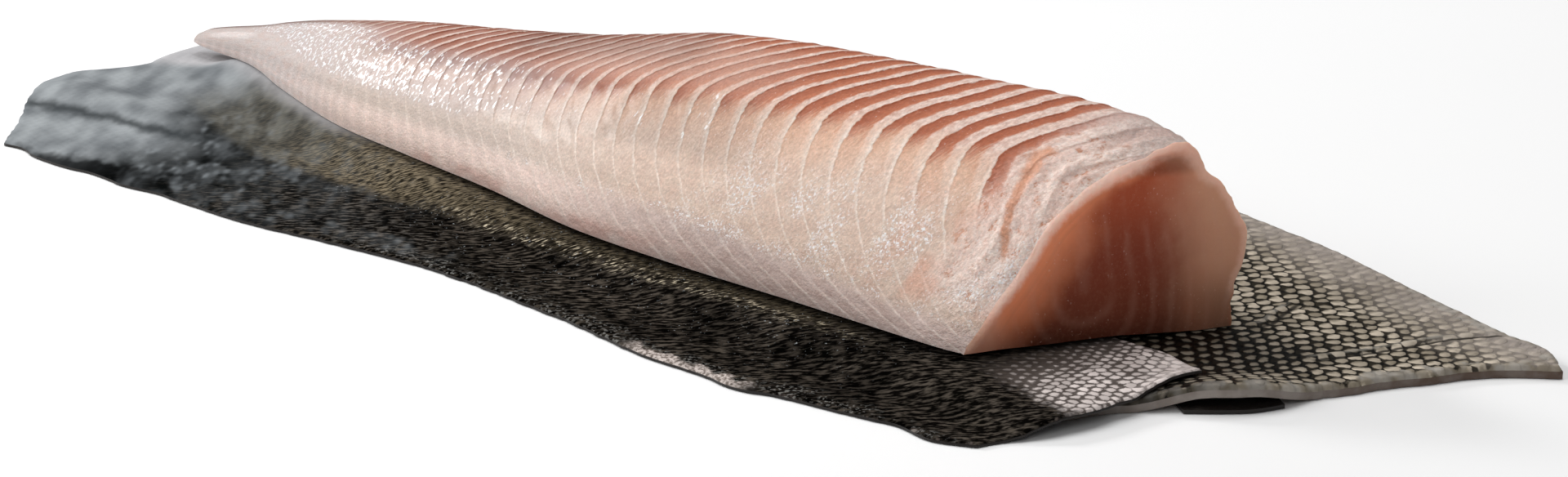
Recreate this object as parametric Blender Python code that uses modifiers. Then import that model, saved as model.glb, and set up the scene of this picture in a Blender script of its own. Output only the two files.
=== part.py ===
"""Raw black cod fillet, skinned, lying on the two strips of its own skin.

Four solids: the loin with its flake ridges, the dark near strip of skin, the paler far strip,
and a scrap of skin caught under the far strip's lifted head edge.
Lengths are in millimetres until a mesh is made. In the construction frame x runs from the tail
towards the head, y away from the belly edge and z up; its origin is the loin's lower corner where
the knife cut meets the belly edge. At the end everything is centred on its own footprint.
"""

import bmesh
import bpy
import numpy as np

METRE = 0.001                 # one millimetre in metres
GAP = 0.3                     # clearance between pieces that touch

# ---------------------------------------------------------------- the loin
LOIN_LENGTH = 389.0           # along the belly edge, tail tip to knife cut
CUT_SLANT = 0.396             # the knife cut runs this far towards the head per mm across
SLANT_FADE = 120.0            # distance behind the cut over which sections turn square again
BURIED = 14.0                 # the loft starts this far ahead of the cut, and is cut back to it
SECTIONS = (                  # distance behind the cut, belly edge y, back edge y, crest height
    (0, 0.0, 72.0, 50.5), (12, -1.2, 72.6, 53.8), (30, -2.3, 73.0, 55.0),
    (60, -4.0, 73.0, 53.8), (105, -7.0, 71.2, 51.4), (150, -7.6, 68.0, 47.0),
    (195, -2.0, 63.0, 38.2), (240, 1.0, 58.0, 31.8), (280, 4.5, 53.0, 26.8),
    (325, 15.5, 47.0, 18.6), (345, 22.0, 43.0, 14.0), (357, 24.5, 40.0, 10.8),
    (382, 25.0, 34.0, 5.4), (389, 26.5, 31.0, 2.5),
)
# unit outlines from the belly edge over the crest to the back edge: share of width, of height
HEAD_OUTLINE = ((0, 0), (.055, .11), (.17, .35), (.31, .63), (.46, .83), (.64, .94),
                (.80, 1), (.875, .855), (.965, .68), (1.04, .45), (1.0, .19), (.99, 0))
BODY_OUTLINE = ((0, 0), (.02, .15), (.09, .36), (.22, .60), (.38, .82), (.56, .95),
                (.72, 1), (.86, .90), (.97, .68), (1.04, .40), (1.02, .15), (1, 0))
TAIL_OUTLINE = ((0, 0), (.01, .20), (.08, .45), (.20, .68), (.35, .87), (.50, .98),
                (.60, 1), (.75, .92), (.88, .70), (.97, .42), (1.01, .18), (1, 0))
OUTLINE_MIX = (               # distance behind the cut, shares of head, body and tail outline
    (0, 1, 0, 0), (60, .35, .65, 0), (150, 0, 1, 0), (300, 0, .15, .85), (389, 0, 0, 1),
)

# ---------------------------------------------------------------- flakes of the loin
FIRST_FLAKE = -3.4            # where the foremost flake edge would lie, behind the cut
FLAKE_PITCH = (               # distance behind the cut, length of a flake there
    (-60, 9.5), (0, 9.5), (60, 9.3), (110, 8.9), (160, 8.55), (200, 7.95),
    (230, 7.2), (260, 6.5), (300, 6.0), (389, 5.0),
)
LEAN_GIRTH = (0, .05, .10, .15, .20, .25, .30, .36, .42, .48, .55, .66, 1)
LEANS = (                     # distance behind the cut, how far an edge leans headward there
    (20, (54, 43, 31, 21, 12.5, 6, 2, 0, 3, 6, 9, 9, -6)),
    (60, (54, 43, 31, 21, 12.5, 6, 2, 0, 5, 11, 14, 14, -4)),
    (120, (50, 40, 29, 20, 12.5, 6, 2, 0, 8, 18, 26, 32, 14)),
    (190, (34, 30, 24, 17, 9, 4, 1, 0, 10, 21, 30, 38, 20)),
    (240, (20, 19, 17, 13, 7, 3, 1, 0, 6, 14, 21, 28, 14)),
    (290, (8, 8, 7, 6, 4, 2, 1, 0, 3, 7, 12, 18, 10)),
    (389, (0, 0, 0, 0, 0, 0, 0, 0, 0, 0, 0, 0, 0)),
)
FLAKE_ROWS = ((-.07, 0), (.05, 1), (.45, .25))   # place within a flake, share of its step
FLAKES_FADE = (250.0, 330.0)  # the steps die out between these distances behind the cut
TAIL_ROWS = ((0, 0),)         # beyond them one row a flake is enough
STEP_GIRTH = (0, .12, .22, .32, .40, .60, .80, 1)
STEP_HEIGHT = (.25, .30, .25, .30, .60, .65, .45, .30)
SEAM = ((-20, .085), (40, .10), (100, .15), (230, .16), (300, .155), (389, .15))
SEAM_DEPTH = 0.9
SEAM_COLUMN = 4               # which column of the loft runs along the seam
COLUMNS = 26                  # spans round the loin, belly edge to back edge

# ---------------------------------------------------------------- the strips of skin
FAR_SKIN = 3.4                # thickness of the far strip, which lies on the surface
NEAR_SKIN = 1.2               # thickness of the near strip, which laps over the far one
LAP = FAR_SKIN + GAP          # height of the near strip's underside on the lap
LOIN_BED = LAP + NEAR_SKIN + GAP
LOIN_SAG = 1.5                # the loin's back edge sinks this far, past the near strip
SAG_FROM, SAG_TO = 45.0, 57.0
BED_MARGINS = (4.0, 9.0)      # the bed bends no nearer to the back edge than this
RAMP = 17.0                   # width of the near strip's climb onto the far one
RAMP_MARGIN = 7.0             # the climb ends this far before the far strip's edge
NEAR_EDGE = (                 # near strip, belly side, tail tip to head end
    (-344, -74.7), (-336, -73), (-326, -74.8), (-310, -73.5), (-300, -71.2), (-283, -71),
    (-270, -68), (-258, -67.5), (-229, -64.8), (-198, -58), (-168, -52.4), (-147, -50.6),
    (-126, -50.5), (-97, -51), (-67, -53.3), (-43, -51.8), (-30, -52), (-19, -47.8),
    (5.5, -42.5), (17.4, -39.7), (30, -40.4), (41.5, -35),
)
NEAR_BACK = ((-391, 50), (-365, 46), (-340, 43), (-270, 42), (-190, 41), (-100, 40), (-20, 39),
             (14, 40), (25, 40.8), (33, 41.4), (41, 39.6), (50, 37.3))
NEAR_TAIL = ((-344, -74.7), (-349, -70), (-359, -60), (-377, -46), (-389, -34), (-395, -25.6),
             (-398, -15), (-395, -6.8), (-392, 1), (-391, 9.4), (-394.5, 18), (-397, 27),
             (-398, 38), (-391, 50))
NEAR_HEAD = ((41.5, -35), (42.8, -28), (45.6, -22), (48.5, -14), (50.2, -4), (50.5, 8),
             (50.7, 19.5), (51, 28.5), (50, 37.3))
FAR_EDGE = ((-346, 34), (-330, 25), (-280, 10), (-200, 0), (-100, -6), (0, -7), (42, -5))
FAR_BACK = ((-349, 75), (-335, 92), (-318, 109), (-299, 116), (-278, 132), (-255, 141),
            (-228, 151), (-200, 155), (-171, 162), (-140, 161), (-110, 163), (-80, 156),
            (-56, 154), (-35, 149), (-10, 145), (8, 141.6), (27, 136.3), (46, 131),
            (64, 126.5), (81, 122), (95.6, 120.2), (106.2, 112))
FAR_TAIL = ((-346, 34), (-354, 54), (-349, 75))
FAR_HEAD = ((42, -5), (45, 3), (48.3, 10.2), (56, 19.8), (65, 28.3), (69.7, 34.5), (72.4, 42),
            (73.5, 51), (77.2, 61), (81, 72.4), (86, 82.6), (90.3, 93.7), (96.5, 102.5),
            (106.2, 112))
LIFT = 4.2                    # the far strip's head edge stands this high off the surface
LIFT_CENTRE = (66.5, 30.0)    # middle of the lifted stretch
LIFT_TURN = np.radians(30)    # turn of the edge there, away from square to the loin
LIFT_WIDTH = 24.0             # the strip starts to rise this far behind its edge
LIFT_SPREAD = (4.0, 26.0)     # along the edge it is fully lifted, then not at all
TAIL_FOLD = 2.2               # height of the long fold at the near strip's tail end
FOLD_LINE = ((-388, -30), (-285, -20))
FOLD_WIDTH = 10.0
NEAR_GRID = (50, 12)          # spans along and across each strip
FAR_GRID = (48, 13)
CROWDING = 0.14               # how much closer the rows of a strip lie at its head end
LIFT_CLEARANCE = 1.5         # the near strip rises a little more than the far one below it
SCRAP = 1.0                   # thickness of the scrap of skin under the lifted edge
SCRAP_EDGE = ((58, 20.5), (65, 28), (69.5, 34), (72.4, 42.5))
SCRAP_REACH = (-7.5, 4.3)     # from that edge to its hidden one
SCRAP_GRID = (12, 3)


def track(knots, values, at):
    """Smooth curve through values given at rising knots, read at the places `at`."""
    knots = np.asarray(knots, float)
    values = np.asarray(values, float)
    flat = values.reshape(len(knots), -1)
    slope = np.empty_like(flat)
    slope[1:-1] = (flat[2:] - flat[:-2]) / (knots[2:] - knots[:-2])[:, None]
    slope[0] = (flat[1] - flat[0]) / (knots[1] - knots[0])
    slope[-1] = (flat[-1] - flat[-2]) / (knots[-1] - knots[-2])
    at = np.asarray(at, float)
    span = np.clip(np.searchsorted(knots, at, side="right") - 1, 0, len(knots) - 2)
    width = (knots[span + 1] - knots[span])[..., None]
    t = np.clip((at - knots[span])[..., None] / width, 0, 1)
    rise = t * t * (3 - 2 * t)
    curve = (flat[span] * (1 - rise) + flat[span + 1] * rise
             + slope[span] * width * t * (1 - t) ** 2
             - slope[span + 1] * width * t * t * (1 - t))
    return curve.reshape(at.shape + values.shape[1:])


def ease(x, start, stop):
    """Smooth step from 0 at start to 1 at stop."""
    t = np.clip((x - start) / (stop - start), 0, 1)
    return t * t * (3 - 2 * t)


def column(table, index, at):
    """One column of a table whose first column holds the knots, read at `at`."""
    return track([row[0] for row in table], [row[index] for row in table], at)


# ---------------------------------------------------------------- loin
def loin_outline(behind, girth):
    """y and height over the bed of the loin's plain surface."""
    shares = np.linspace(0, 1, len(HEAD_OUTLINE))
    width, height = 0, 0
    for index, outline in enumerate((HEAD_OUTLINE, BODY_OUTLINE, TAIL_OUTLINE), start=1):
        part = column(OUTLINE_MIX, index, behind)
        point = track(shares, outline, girth)
        width = width + part * point[..., 0]
        height = height + part * point[..., 1]
    belly = column(SECTIONS, 1, behind)
    back = column(SECTIONS, 2, behind)
    return belly + (back - belly) * width, column(SECTIONS, 3, behind) * height


def flake_places():
    """Distances behind the cut of all flake edges at the line where they bend."""
    places = [FIRST_FLAKE]
    while places[-1] < LOIN_LENGTH:
        pitch = np.interp(places[-1], *zip(*FLAKE_PITCH))
        places.append(places[-1] + pitch)
    return np.array(places)


def loin_rows():
    """Rows of the loft: distance behind the cut at the bend, share of a flake's step."""
    places = flake_places()
    rows = [(-BURIED, 0.0)]
    for number, place in enumerate(places[:-1]):
        pitch = places[number + 1] - place
        steps = FLAKE_ROWS if place < FLAKES_FADE[1] else TAIL_ROWS
        rows += [(place + share * pitch, height) for share, height in steps]
    rows = [row for row in rows if row[0] < LOIN_LENGTH - 1.5]
    return np.array(rows + [(LOIN_LENGTH - 0.8, 0.0), (LOIN_LENGTH, 0.0)])


def loin_columns(behind):
    """Girth shares of the loft's columns, bent so that one of them follows the seam."""
    even = np.linspace(0, 1, COLUMNS + 1)
    pivot = even[SEAM_COLUMN]
    seam = track(*zip(*SEAM), behind)[..., None]
    below = even * seam / pivot
    above = 1 - (1 - even) * (1 - seam) / (1 - pivot)
    return np.where(even < pivot, below, above)


def lean(bend, girth):
    """How far a flake edge that bends at `bend` lies headward at each girth share."""
    stations = np.array([row[0] for row in LEANS], float)
    leans = np.array([track(LEAN_GIRTH, row[1], girth) for row in LEANS])
    at = np.clip(np.interp(bend, stations, np.arange(len(stations))), 0, len(stations) - 1.001)
    low = at.astype(int)
    share = at - low
    pick = np.take_along_axis
    return (pick(leans, low[None], 0)[0] * (1 - share)
            + pick(leans, low[None] + 1, 0)[0] * share)


def loin_surface():
    """Grid of points over the loin, rows along the flake edges, and the bed beneath them."""
    rows = loin_rows()
    bend = rows[:, :1] * np.ones(COLUMNS + 1)
    girth = loin_columns(rows[:, 0])
    behind = bend - lean(bend, girth)
    y, height = loin_outline(behind, girth)

    nudge = 1e-3
    ahead_y, ahead_h = loin_outline(behind, np.clip(girth + nudge, 0, 1))
    back_y, back_h = loin_outline(behind, np.clip(girth - nudge, 0, 1))
    normal = np.stack([back_h - ahead_h, ahead_y - back_y], axis=-1)
    normal /= np.linalg.norm(normal, axis=-1, keepdims=True)
    fade = 1 - ease(behind, *FLAKES_FADE)
    step = rows[:, 1:] * np.interp(girth, STEP_GIRTH, STEP_HEIGHT) * fade
    seam = np.zeros(COLUMNS + 1)
    seam[SEAM_COLUMN] = -SEAM_DEPTH
    rim = np.ones(COLUMNS + 1)
    rim[[0, -1]] = 0                      # the lower edges stay on the bed
    relief = (step + seam * (1 - ease(behind, 300, 380))) * rim
    y = y + relief * normal[..., 0]
    height = np.maximum(height + relief * normal[..., 1], 0)

    x = -behind + CUT_SLANT * y * np.clip(1 - behind / SLANT_FADE, 0, 1)
    z = height + bed(y) * (1 - ease(height, 0, 12)) + LOIN_BED * ease(height, 0, 12)
    return np.stack([x, y, z], axis=-1)


def bed(y):
    """Height of what the loin lies on: it sinks past the near strip's back edge."""
    return LOIN_BED - LOIN_SAG * ease(y, SAG_FROM, SAG_TO)


def loin():
    """The loin: a lofted skin of points with a flat bed, cut off square by the knife."""
    grid = loin_surface()
    model = bmesh.new()
    rings = []
    for line in grid:
        belly, back = line[0], line[-1]
        under = []
        for y, margin in zip((SAG_TO, SAG_FROM), BED_MARGINS):
            y = min(y, back[1] - margin * min(1, (back[1] - belly[1]) / 20))
            point = belly + (back - belly) * (y - belly[1]) / (back[1] - belly[1])
            point[2] = bed(y)
            under.append(point)
        rings.append([model.verts.new(point * METRE) for point in [*line, *under]])
    for first, second in zip(rings, rings[1:]):
        sides = zip(first, first[1:] + first[:1], second[1:] + second[:1], second)
        for corners in sides:
            model.faces.new(corners)
    model.faces.new(rings[0])
    model.faces.new(list(reversed(rings[-1])))
    bmesh.ops.recalc_face_normals(model, faces=model.faces)
    halves = model.verts[:] + model.edges[:] + model.faces[:]
    bmesh.ops.bisect_plane(model, geom=halves, dist=1e-6, plane_co=(0, 0, 0),
                           plane_no=(1, -CUT_SLANT, 0), clear_outer=True)
    bmesh.ops.holes_fill(model, edges=[edge for edge in model.edges if edge.is_boundary])
    bmesh.ops.recalc_face_normals(model, faces=model.faces)
    return model


# ---------------------------------------------------------------- skin
def edge_curve(points, shares):
    """Smooth curve through an edge's points, spaced by arc length."""
    points = np.array(points, float)
    length = np.concatenate([[0], np.cumsum(np.linalg.norm(np.diff(points, axis=0), axis=1))])
    return track(length / length[-1], points, shares)


def patch(near, back, tail, head, spans):
    """Coons patch between four edges: a grid of x and y, rows from tail to head."""
    u = np.linspace(0, 1, spans[0] + 1)
    u = u + CROWDING * np.sin(np.pi * u)
    v = np.linspace(0, 1, spans[1] + 1)
    low, high = edge_curve(near, u)[:, None], edge_curve(back, u)[:, None]
    left, right = edge_curve(tail, v)[None], edge_curve(head, v)[None]
    u, v = u[:, None, None], v[None, :, None]
    corners = ((1 - u) * (1 - v) * low[0, 0] + u * (1 - v) * low[-1, 0]
               + (1 - u) * v * high[0, 0] + u * v * high[-1, 0])
    return (1 - v) * low + v * high + (1 - u) * left + u * right - corners


def head_lift(x, y):
    """Height of the far strip's curled head edge, also under the near strip that lies on it."""
    off_x, off_y = x - LIFT_CENTRE[0], y - LIFT_CENTRE[1]
    along = off_x * np.sin(LIFT_TURN) + off_y * np.cos(LIFT_TURN)
    across = off_x * np.cos(LIFT_TURN) - off_y * np.sin(LIFT_TURN)
    return LIFT * ease(across, -LIFT_WIDTH, 0) * (1 - ease(np.abs(along), *LIFT_SPREAD))


def far_underside(x, y):
    """Height of the far strip's underside: flat, but for the curl at the head end."""
    return head_lift(x, y)


def near_underside(x, y):
    """Height of the near strip's underside: flat, up onto the far strip, with a tail fold."""
    side = column(FAR_EDGE, 1, x) - RAMP_MARGIN
    end = FAR_TAIL[1][0] - RAMP_MARGIN
    onto = ease(y, side - RAMP, side) * ease(x, end - RAMP, end)
    (x0, y0), (x1, y1) = FOLD_LINE
    middle = y0 + (y1 - y0) * (x - x0) / (x1 - x0)
    ends = ease(x, x0 - FOLD_WIDTH, x0 + FOLD_WIDTH) * (1 - ease(x, x0 + 3 * FOLD_WIDTH, x1))
    fold = TAIL_FOLD * np.exp(-((y - middle) / FOLD_WIDTH) ** 2) * ends
    return onto * (LAP + LIFT_CLEARANCE * head_lift(x, y)) + fold * (1 - onto)


def flat_underside(x, y):
    """The surface that everything lies on."""
    return np.zeros_like(x)


def skin(edges, spans, underside):
    """The underside of a strip of skin, as one layer of triangles."""
    plan = patch(*edges, spans)
    height = underside(plan[..., 0], plan[..., 1])
    points = np.dstack([plan, height]) * METRE
    model = bmesh.new()
    verts = [[model.verts.new(point) for point in line] for line in points]
    for first, second in zip(verts, verts[1:]):
        for a, b, c, d in zip(first, second, second[1:], first[1:]):
            model.faces.new((a, b, c))
            model.faces.new((a, c, d))
    return model


# ---------------------------------------------------------------- objects
def material(name, colour, roughness):
    """A plain finish in the real surface's colour."""
    finish = bpy.data.materials.new(name)
    finish.use_nodes = True
    shader = finish.node_tree.nodes["Principled BSDF"]
    shader.inputs["Base Color"].default_value = (*colour, 1)
    shader.inputs["Roughness"].default_value = roughness
    shader.inputs["Metallic"].default_value = 0
    finish.diffuse_color = (*colour, 1)
    return finish


def add_object(name, model, finish, collection):
    """Turn a bmesh into a named object of the fillet's collection."""
    mesh = bpy.data.meshes.new(name)
    model.to_mesh(mesh)
    model.free()
    mesh.materials.append(finish)
    mesh.shade_smooth()
    mesh.set_sharp_from_angle(angle=np.radians(40))
    thing = bpy.data.objects.new(name, mesh)
    collection.objects.link(thing)
    return thing


def give_thickness(thing, thickness):
    """Solidify a strip of skin above its underside."""
    solid = thing.modifiers.new("thickness", "SOLIDIFY")
    solid.thickness = thickness * METRE
    solid.offset = 1
    solid.use_even_offset = False


def centre(things):
    """Put the middle of the footprint, at the lowest point, on the world origin."""
    bpy.context.view_layer.update()
    graph = bpy.context.evaluated_depsgraph_get()
    corners = []
    for thing in things:
        mesh = thing.evaluated_get(graph).data
        corners += [vertex.co[:] for vertex in mesh.vertices]
    low, high = np.min(corners, axis=0), np.max(corners, axis=0)
    for thing in things:
        thing.location = (-(low[0] + high[0]) / 2, -(low[1] + high[1]) / 2, -low[2])


def main():
    for thing in list(bpy.data.objects):
        bpy.data.objects.remove(thing)
    bpy.context.scene.unit_settings.system = "METRIC"
    collection = bpy.data.collections.new("black_cod_fillet")
    bpy.context.scene.collection.children.link(collection)

    flesh = material("flesh", (0.62, 0.36, 0.27), 0.35)
    dark_skin = material("dark_skin", (0.035, 0.032, 0.028), 0.35)
    grey_skin = material("grey_skin", (0.20, 0.18, 0.14), 0.45)

    fillet = add_object("fillet", loin(), flesh, collection)
    strips = []
    hidden = [(x + SCRAP_REACH[0], y + SCRAP_REACH[1]) for x, y in SCRAP_EDGE]
    ends = ((SCRAP_EDGE[0], hidden[0]), (SCRAP_EDGE[-1], hidden[-1]))
    for name, edges, spans, underside, thickness, finish in (
        ("skin_near", (NEAR_EDGE, NEAR_BACK, NEAR_TAIL, NEAR_HEAD), NEAR_GRID,
         near_underside, NEAR_SKIN, dark_skin),
        ("skin_far", (FAR_EDGE, FAR_BACK, FAR_TAIL, FAR_HEAD), FAR_GRID,
         far_underside, FAR_SKIN, grey_skin),
        ("skin_scrap", (SCRAP_EDGE, hidden, *ends), SCRAP_GRID,
         flat_underside, SCRAP, dark_skin),
    ):
        strip = add_object(name, skin(edges, spans, underside), finish, collection)
        give_thickness(strip, thickness)
        strips.append(strip)
    centre([fillet, *strips])


main()
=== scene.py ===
"""Raw black cod fillet, skinned, on two strips of its own skin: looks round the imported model.

The bench frame used below is in millimetres: x runs from the loin's tail towards its head, y away
from the belly edge, z up, and its origin is the loin's lower corner where the knife cut meets the
belly edge. `BENCH` carries points from there into the model's own frame, which is in metres.
"""

import logging
import math
from dataclasses import dataclass
from enum import Enum
from typing import Any, Callable

import bpy
import bmesh
import numpy as np
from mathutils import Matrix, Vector


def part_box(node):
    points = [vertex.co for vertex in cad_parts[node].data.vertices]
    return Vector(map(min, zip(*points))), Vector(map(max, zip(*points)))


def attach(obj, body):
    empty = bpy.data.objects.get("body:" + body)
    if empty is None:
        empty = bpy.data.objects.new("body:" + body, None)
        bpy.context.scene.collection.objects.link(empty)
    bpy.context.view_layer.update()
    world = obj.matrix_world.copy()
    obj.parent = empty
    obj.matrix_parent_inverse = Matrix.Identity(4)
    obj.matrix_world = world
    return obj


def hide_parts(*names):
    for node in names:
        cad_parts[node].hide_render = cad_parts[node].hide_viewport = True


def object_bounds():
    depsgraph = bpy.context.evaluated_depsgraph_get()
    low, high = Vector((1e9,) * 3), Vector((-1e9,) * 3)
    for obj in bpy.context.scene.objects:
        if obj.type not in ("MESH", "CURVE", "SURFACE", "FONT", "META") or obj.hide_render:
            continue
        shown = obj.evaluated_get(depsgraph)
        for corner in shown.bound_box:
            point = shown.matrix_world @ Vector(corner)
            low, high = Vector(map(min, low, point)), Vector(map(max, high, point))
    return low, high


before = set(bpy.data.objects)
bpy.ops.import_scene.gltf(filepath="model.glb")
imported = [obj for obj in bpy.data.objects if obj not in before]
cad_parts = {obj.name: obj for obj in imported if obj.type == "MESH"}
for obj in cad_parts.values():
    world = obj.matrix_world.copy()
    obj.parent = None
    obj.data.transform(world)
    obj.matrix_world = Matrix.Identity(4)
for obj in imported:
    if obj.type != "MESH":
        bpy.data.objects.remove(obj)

CAD_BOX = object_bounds()
MM = 0.001                      # one millimetre in metres
MILLIMETRES = 1.0 / MM          # one metre in millimetres
BODY = "root"
LOIN_GIRTH = 130.0              # from belly edge over the crest to back edge, about
SMOOTH_ANGLE = math.radians(55)     # edges sharper than this stay sharp
WELD = 2e-6                     # points nearer than this are joined, in metres
SLICE = 1e-7                    # nearer to a slicing plane counts as on it, in metres
TALLEST = CAD_BOX[1][2] * MILLIMETRES - 0.05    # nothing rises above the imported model

log = logging.getLogger("fillet")

Points = tuple[tuple[float, ...], ...]
Colour = tuple[float, float, float]


# ------------------------------------------------------------------ curves and grain
def track(knots: Any, values: Any, at: Any) -> np.ndarray:
    """Smooth curve through values given at rising knots.

    Args:
        knots: places where the values are known.
        values: a number or a point for each knot.
        at: places at which the curve is read.

    Returns:
        The curve's values, one for each place.
    """
    knots = np.asarray(knots, float)
    values = np.asarray(values, float)
    flat = values.reshape(len(knots), -1)
    slope = np.empty_like(flat)
    slope[1:-1] = (flat[2:] - flat[:-2]) / (knots[2:] - knots[:-2])[:, None]
    slope[0] = (flat[1] - flat[0]) / (knots[1] - knots[0])
    slope[-1] = (flat[-1] - flat[-2]) / (knots[-1] - knots[-2])
    at = np.asarray(at, float)
    span = np.clip(np.searchsorted(knots, at, side="right") - 1, 0, len(knots) - 2)
    width = (knots[span + 1] - knots[span])[..., None]
    t = np.clip((at - knots[span])[..., None] / width, 0, 1)
    rise = t * t * (3 - 2 * t)
    curve = (flat[span] * (1 - rise) + flat[span + 1] * rise
             + slope[span] * width * t * (1 - t) ** 2
             - slope[span + 1] * width * t * t * (1 - t))
    return curve.reshape(at.shape + values.shape[1:])


def ease(x: Any, start: Any, stop: Any) -> np.ndarray:
    """Smooth step from 0 at start to 1 at stop."""
    t = np.clip((x - start) / (stop - start), 0, 1)
    return t * t * (3 - 2 * t)


def column(table: Points, index: int, at: Any) -> np.ndarray:
    """One column of a table whose first column holds the knots, read at `at`."""
    return track([row[0] for row in table], [row[index] for row in table], at)


def grain(x: Any, y: Any, seed: int = 0) -> np.ndarray:
    """Smooth random waves one unit long.

    Args:
        x: first coordinate, in waves.
        y: second coordinate, in waves.
        seed: which of many patterns.

    Returns:
        Values from -1 to 1.
    """
    x, y = np.broadcast_arrays(np.asarray(x, float), np.asarray(y, float))
    cell_x, cell_y = np.floor(x), np.floor(y)
    fade_x, fade_y = ease(x - cell_x, 0, 1), ease(y - cell_y, 0, 1)

    def corner(step_x: int, step_y: int) -> np.ndarray:
        """Random value at one corner of each cell."""
        spot = (cell_x + step_x) * 127.1 + (cell_y + step_y) * 311.7 + seed * 74.7
        return np.mod(np.sin(spot) * 43758.5453, 1) * 2 - 1

    low = corner(0, 0) * (1 - fade_x) + corner(1, 0) * fade_x
    high = corner(0, 1) * (1 - fade_x) + corner(1, 1) * fade_x
    return low * (1 - fade_y) + high * fade_y


def near_curve(x: Any, y: Any, curve: Points) -> np.ndarray:
    """Signed distance along x from a curve given as (y, x) points, straight past its ends."""
    places = [point[0] for point in curve]
    return x - track(places, [point[1] for point in curve], y)


def within(y: Any, curve: Points, margin: float) -> np.ndarray:
    """1 beside a curve's own stretch of y, falling to 0 over a margin at its ends."""
    low, high = curve[0][0], curve[-1][0]
    return ease(y, low, low + margin) * (1 - ease(y, high - margin, high))


# ------------------------------------------------------------------ bench frame
@dataclass(frozen=True)
class Bench:
    """Where the bench frame lies in the model's frame, in millimetres."""

    x: float
    y: float

    def place(self, points: np.ndarray) -> np.ndarray:
        """Bench points in millimetres as model points in metres."""
        return (points + np.array((self.x, self.y, 0.0))) * MM

    def point(self, x: float, y: float, z: float) -> Vector:
        """One bench point in millimetres as a model point in metres."""
        return Vector(self.place(np.array((x, y, z), float)))


SCRAP_EDGE = ((58, 20.5), (65, 28), (69.5, 34), (72.4, 42.5))
SCRAP_REACH = (-7.5, 4.3)       # from that edge of the scrap to its hidden one


def find_bench() -> Bench:
    """The bench frame, found from the lowest corner of the scrap of skin."""
    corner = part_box("skin_scrap")[0] * MILLIMETRES
    return Bench(corner.x - SCRAP_EDGE[0][0] - SCRAP_REACH[0], corner.y - SCRAP_EDGE[0][1])


BENCH = find_bench()
CLEARANCE = np.array(((0.1, 0.1), (-0.1, -0.1)))         # the looks stay this far inside
PLAN_LIMITS = np.array(CAD_BOX)[:, :2] * MILLIMETRES - (BENCH.x, BENCH.y) + CLEARANCE


# ------------------------------------------------------------------ shader maths
class Wire:
    """A socket of a finish, on which Python arithmetic adds Math nodes."""

    def __init__(self, finish: "Finish", socket: bpy.types.NodeSocket) -> None:
        """Wraps an output socket of a finish."""
        self.finish = finish
        self.socket = socket

    def math(self, operation: str, *values: Any) -> "Wire":
        """This value and others through one Math node."""
        return self.finish.math(operation, self, *values)

    def __add__(self, other: Any) -> "Wire":
        """Sum."""
        return self.math("ADD", other)

    __radd__ = __add__

    def __mul__(self, other: Any) -> "Wire":
        """Product."""
        return self.math("MULTIPLY", other)

    __rmul__ = __mul__

    def __sub__(self, other: Any) -> "Wire":
        """Difference."""
        return self.math("SUBTRACT", other)

    def __rsub__(self, other: Any) -> "Wire":
        """Difference, from the other value."""
        return self.finish.math("SUBTRACT", other, self)

    def __truediv__(self, other: Any) -> "Wire":
        """Quotient."""
        return self.math("DIVIDE", other)

    def __rtruediv__(self, other: Any) -> "Wire":
        """Quotient, of the other value."""
        return self.finish.math("DIVIDE", other, self)

    def __pow__(self, other: Any) -> "Wire":
        """Power."""
        return self.math("POWER", other)

    def __gt__(self, other: Any) -> "Wire":
        """1 where this value is the greater."""
        return self.math("GREATER_THAN", other)

    def ease(self, start: Any, stop: Any) -> "Wire":
        """Smooth step from 0 at start to 1 at stop, either of which may be a wire."""
        settings = {"interpolation_type": "SMOOTHSTEP"}
        return self.finish.node("ShaderNodeMapRange", settings,
                                {"Value": self, "From Min": start, "From Max": stop})

    def fall(self, start: Any, stop: Any) -> "Wire":
        """Smooth step from 1 at start to 0 at stop."""
        return 1 - self.ease(start, stop)

    def within(self, start: Any, stop: Any, soft: float) -> "Wire":
        """1 between start and stop, falling to 0 over `soft` past either of them."""
        return self.ease(start - soft, start) * self.fall(stop, stop + soft)


def floor(value: Any) -> Any:
    """Whole part of an array or of a wire."""
    return value.math("FLOOR") if isinstance(value, Wire) else np.floor(value)


def sine(value: Any) -> Any:
    """Sine of an array or of a wire."""
    return value.math("SINE") if isinstance(value, Wire) else np.sin(value)


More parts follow.
